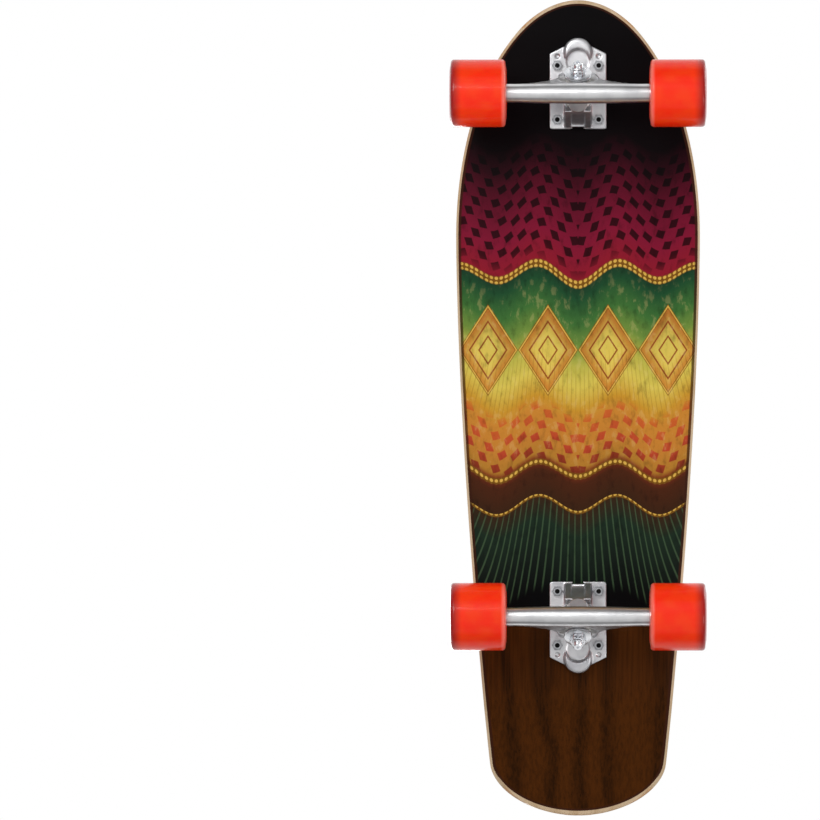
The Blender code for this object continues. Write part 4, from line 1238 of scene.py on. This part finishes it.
def bright_turned(name, turned_past):
    """Cast aluminium with fine turning marks on whatever lies further out than turned_past."""
    material = CAST.copy()
    material.name = name
    tree = material.node_tree
    shader = tree.nodes["Principled BSDF"]
    place = object_place(tree)
    share = ramp_between(abs(axes_of(place)[0]), turned_past, turned_past + 0.03)
    marks = noise_field(place, 2600.0, detail=2.0, stretch=(1, 0.02, 0.02))
    coarse, skin = (shader.inputs[name].links[0].from_socket for name in ("Roughness", "Base Color"))
    banded = blend_colours(marks, "a9aaad", "f2f2f3")
    inputs = {
        "Roughness": Field(coarse) * (1 - share) + (0.27 + marks * 0.06) * share,
        "Base Color": blend_colours(share * 0.1, skin, banded),
    }
    set_inputs(shader, inputs)
    return material


TURNED_CAST = bright_turned("cast and turned aluminium", 30 * MM)


def casting(node, name, material, voxel=0.8 * MM, passes=5):
    """A CAD solid's shape with a cast skin: even small faces, smoothed."""
    mesh = NODES[node].data.copy()
    mesh.transform(NODES[node].matrix_world)
    shape = bmesh.new()
    shape.from_mesh(mesh)
    bmesh.ops.remove_doubles(shape, verts=shape.verts, dist=WELD_DISTANCE)
    shape.to_mesh(mesh)
    shape.free()
    maker = new_object(name + "_maker", mesh)
    remesh = maker.modifiers.new("skin", "REMESH")
    with_settings(remesh, mode="VOXEL", voxel_size=voxel, use_smooth_shade=True)
    with_settings(maker.modifiers.new("cast", "SMOOTH"), factor=0.5, iterations=passes)
    done = mesh_made_by(maker, name)
    done.materials.clear()
    done.shade_smooth()
    made = new_object(name, done, [material])
    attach(made, BODY_OF[node])
    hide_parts(node)
    return made


CASTINGS = []
for end in ENDS:
    CASTINGS.append(casting(f"{end}_hanger", f"{end}_cast_hanger", TURNED_CAST))
    CASTINGS.append(casting(f"{end}_baseplate", f"{end}_cast_baseplate", SHOT_CAST))
print({made.name: len(made.data.polygons) for made in CASTINGS})

# %% [markdown]
# ## Pivot cups
# The last round piece is the plastic cup in the baseplate's tower, which the hanger's nose turns in.

# %% Build the pivot cups


def build_pivot_cup(end):
    line = steer_line(end)
    node = f"{end}_pivot_cup"
    low, high, reach = measured(node, line)[:3]
    wall, soft, bevel = 1.8 * MM, 0.4 * MM, 1 * MM
    inside = reach - wall
    points = [(0, low), (reach - bevel, low), (reach, low + bevel), (reach, high - soft)]
    points += [(reach - soft, high), (inside + soft, high), (inside, high - soft)]
    points += [(inside, low + wall + bevel), (inside - bevel, low + wall), (0, low + wall)]
    turned_piece(node, f"{end}_plastic_cup", line, (CUP_PLASTIC, points), steps=48)


for end in ENDS:
    build_pivot_cup(end)
print("pivot cups are in; CAD nodes still shown:", [n for n, p in NODES.items() if not p.hide_render])

# %% [markdown]
# ## Floor, light and camera
# The photograph looks straight at the underside of a board. The board here stays on its wheels, so the
# camera goes below and looks up. The floor is seen only from above, with a little light of its own that
# keeps it pale; from below it lets the light through. A white surround serves the camera. Surfaces mirror
# plain white above the horizon and soft boxes of light below it, and four broad lamps do the rest.

# %% Floor and surround


def floor_finish():
    """A pale floor from above and nothing at all from below."""
    material, tree, shader = new_finish("pale floor")
    seen = Field(add_node(tree, "ShaderNodeLightPath").outputs["Is Camera Ray"])
    inputs = {
        "Base Color": paint("f4f4f3"),
        "Roughness": 0.9,
        "Emission Color": (1, 1, 1, 1),
        "Emission Strength": seen * 0.5,
    }
    set_inputs(shader, inputs)
    clear = add_node(tree, "ShaderNodeBsdfTransparent").outputs[0]
    behind = add_node(tree, "ShaderNodeNewGeometry").outputs["Backfacing"]
    mix = add_node(tree, "ShaderNodeMixShader", {0: behind, 1: shader.outputs[0], 2: clear})
    set_inputs(tree.nodes["Material Output"], {"Surface": mix.outputs[0]})
    return material


def build_floor(reach=30.0):
    mesh = bpy.data.meshes.new("floor")
    corners = [(-reach, -reach, 0), (reach, -reach, 0), (reach, reach, 0), (-reach, reach, 0)]
    mesh.from_pydata(corners, [], [(0, 1, 2, 3)])
    floor = new_object("floor", mesh, [floor_finish()])
    floor.location.z = -0.3 * MM
    with_settings(floor, visible_shadow=False, visible_diffuse=False)
    with_settings(floor, visible_glossy=False, visible_transmission=False)


def white_surround(light_level=0.5):
    """White for the camera, an even light for surfaces; reflections show white above and boxes below."""
    world = bpy.data.worlds.new("surround")
    world.use_nodes = True
    bpy.context.scene.world = world
    tree = world.node_tree
    rays = add_node(tree, "ShaderNodeLightPath").outputs
    seen = larger(Field(rays["Is Camera Ray"]), Field(rays["Is Transmission Ray"]))
    y, z = axes_of(object_place(tree))[1:]
    up = abs(z)
    # a box straight down, a band at the horizon and a box fore and aft, then white over all that is above
    boxes = 0.16 + ramp_between(up, 0.6, 0.92) * 0.6 + line_near(z, 0.12, 0.3) * 0.35
    boxes = boxes + line_near(abs(y), 0.74, 0.2) * (1 - ramp_between(up, 0.75, 0.95)) * 0.45
    boxes = ramp_between(z, 0.0, 0.25) * (1 - boxes) + boxes
    level = Field(rays["Is Glossy Ray"]) * (boxes - light_level) + light_level
    level = seen * (1 - level) + level
    set_inputs(tree.nodes["Background"], {"Strength": level, "Color": (1, 1, 1, 1)})


build_floor()
white_surround()
print("floor and surround are in")

# %% Lamps and camera


def add_lamp(name, place, size, power, target=(0, 0, 0.08)):
    data = bpy.data.lights.new(name, "AREA")
    with_settings(data, shape="RECTANGLE", size=size[0], size_y=size[1], energy=power)
    turn = (Vector(target) - Vector(place)).to_track_quat("-Z", "Y").to_euler()
    with_settings(new_object(name, data), location=place, rotation_euler=turn, visible_camera=False)


add_lamp("below", (0.9, 1.1, -2.0), (1.2, 1.2), 26)
add_lamp("below side", (-1.7, -0.5, -1.3), (0.8, 1.8), 12)
add_lamp("above", (0.9, -0.7, 2.4), (1.4, 1.4), 38)
add_lamp("above side", (-1.8, 0.9, 1.4), (1.0, 1.6), 16)

FRAME_WIDTH = 0.82
CAMERA_DISTANCE = 8.0
AIM_X = 0.168
AIM_Y = -0.002


def add_camera():
    """Under the board's middle line, looking up, with the nose at the top of the picture.

    The aim is a little to one side, so that the board stands at the right of the picture.
    """
    data = with_settings(bpy.data.cameras.new("camera"), sensor_width=36, clip_end=100)
    data.lens = data.sensor_width * CAMERA_DISTANCE / FRAME_WIDTH
    data.dof.use_dof = False
    camera = new_object("camera", data)
    seen = Vector((AIM_X, AIM_Y, DECK_TOP_Z - DECK_THICKNESS))
    place = Vector((0, AIM_Y, seen.z - CAMERA_DISTANCE))
    up = Vector((0, 1, 0))
    back = (place - seen).normalized()
    turn = Matrix((up.cross(back), up, back)).transposed().to_4x4()
    camera.matrix_world = Matrix.Translation(place) @ turn
    bpy.context.scene.camera = camera
    return camera


CAMERA = add_camera()
bpy.context.scene.view_settings.view_transform = "Standard"
print("camera at", [round(v, 3) for v in CAMERA.location])
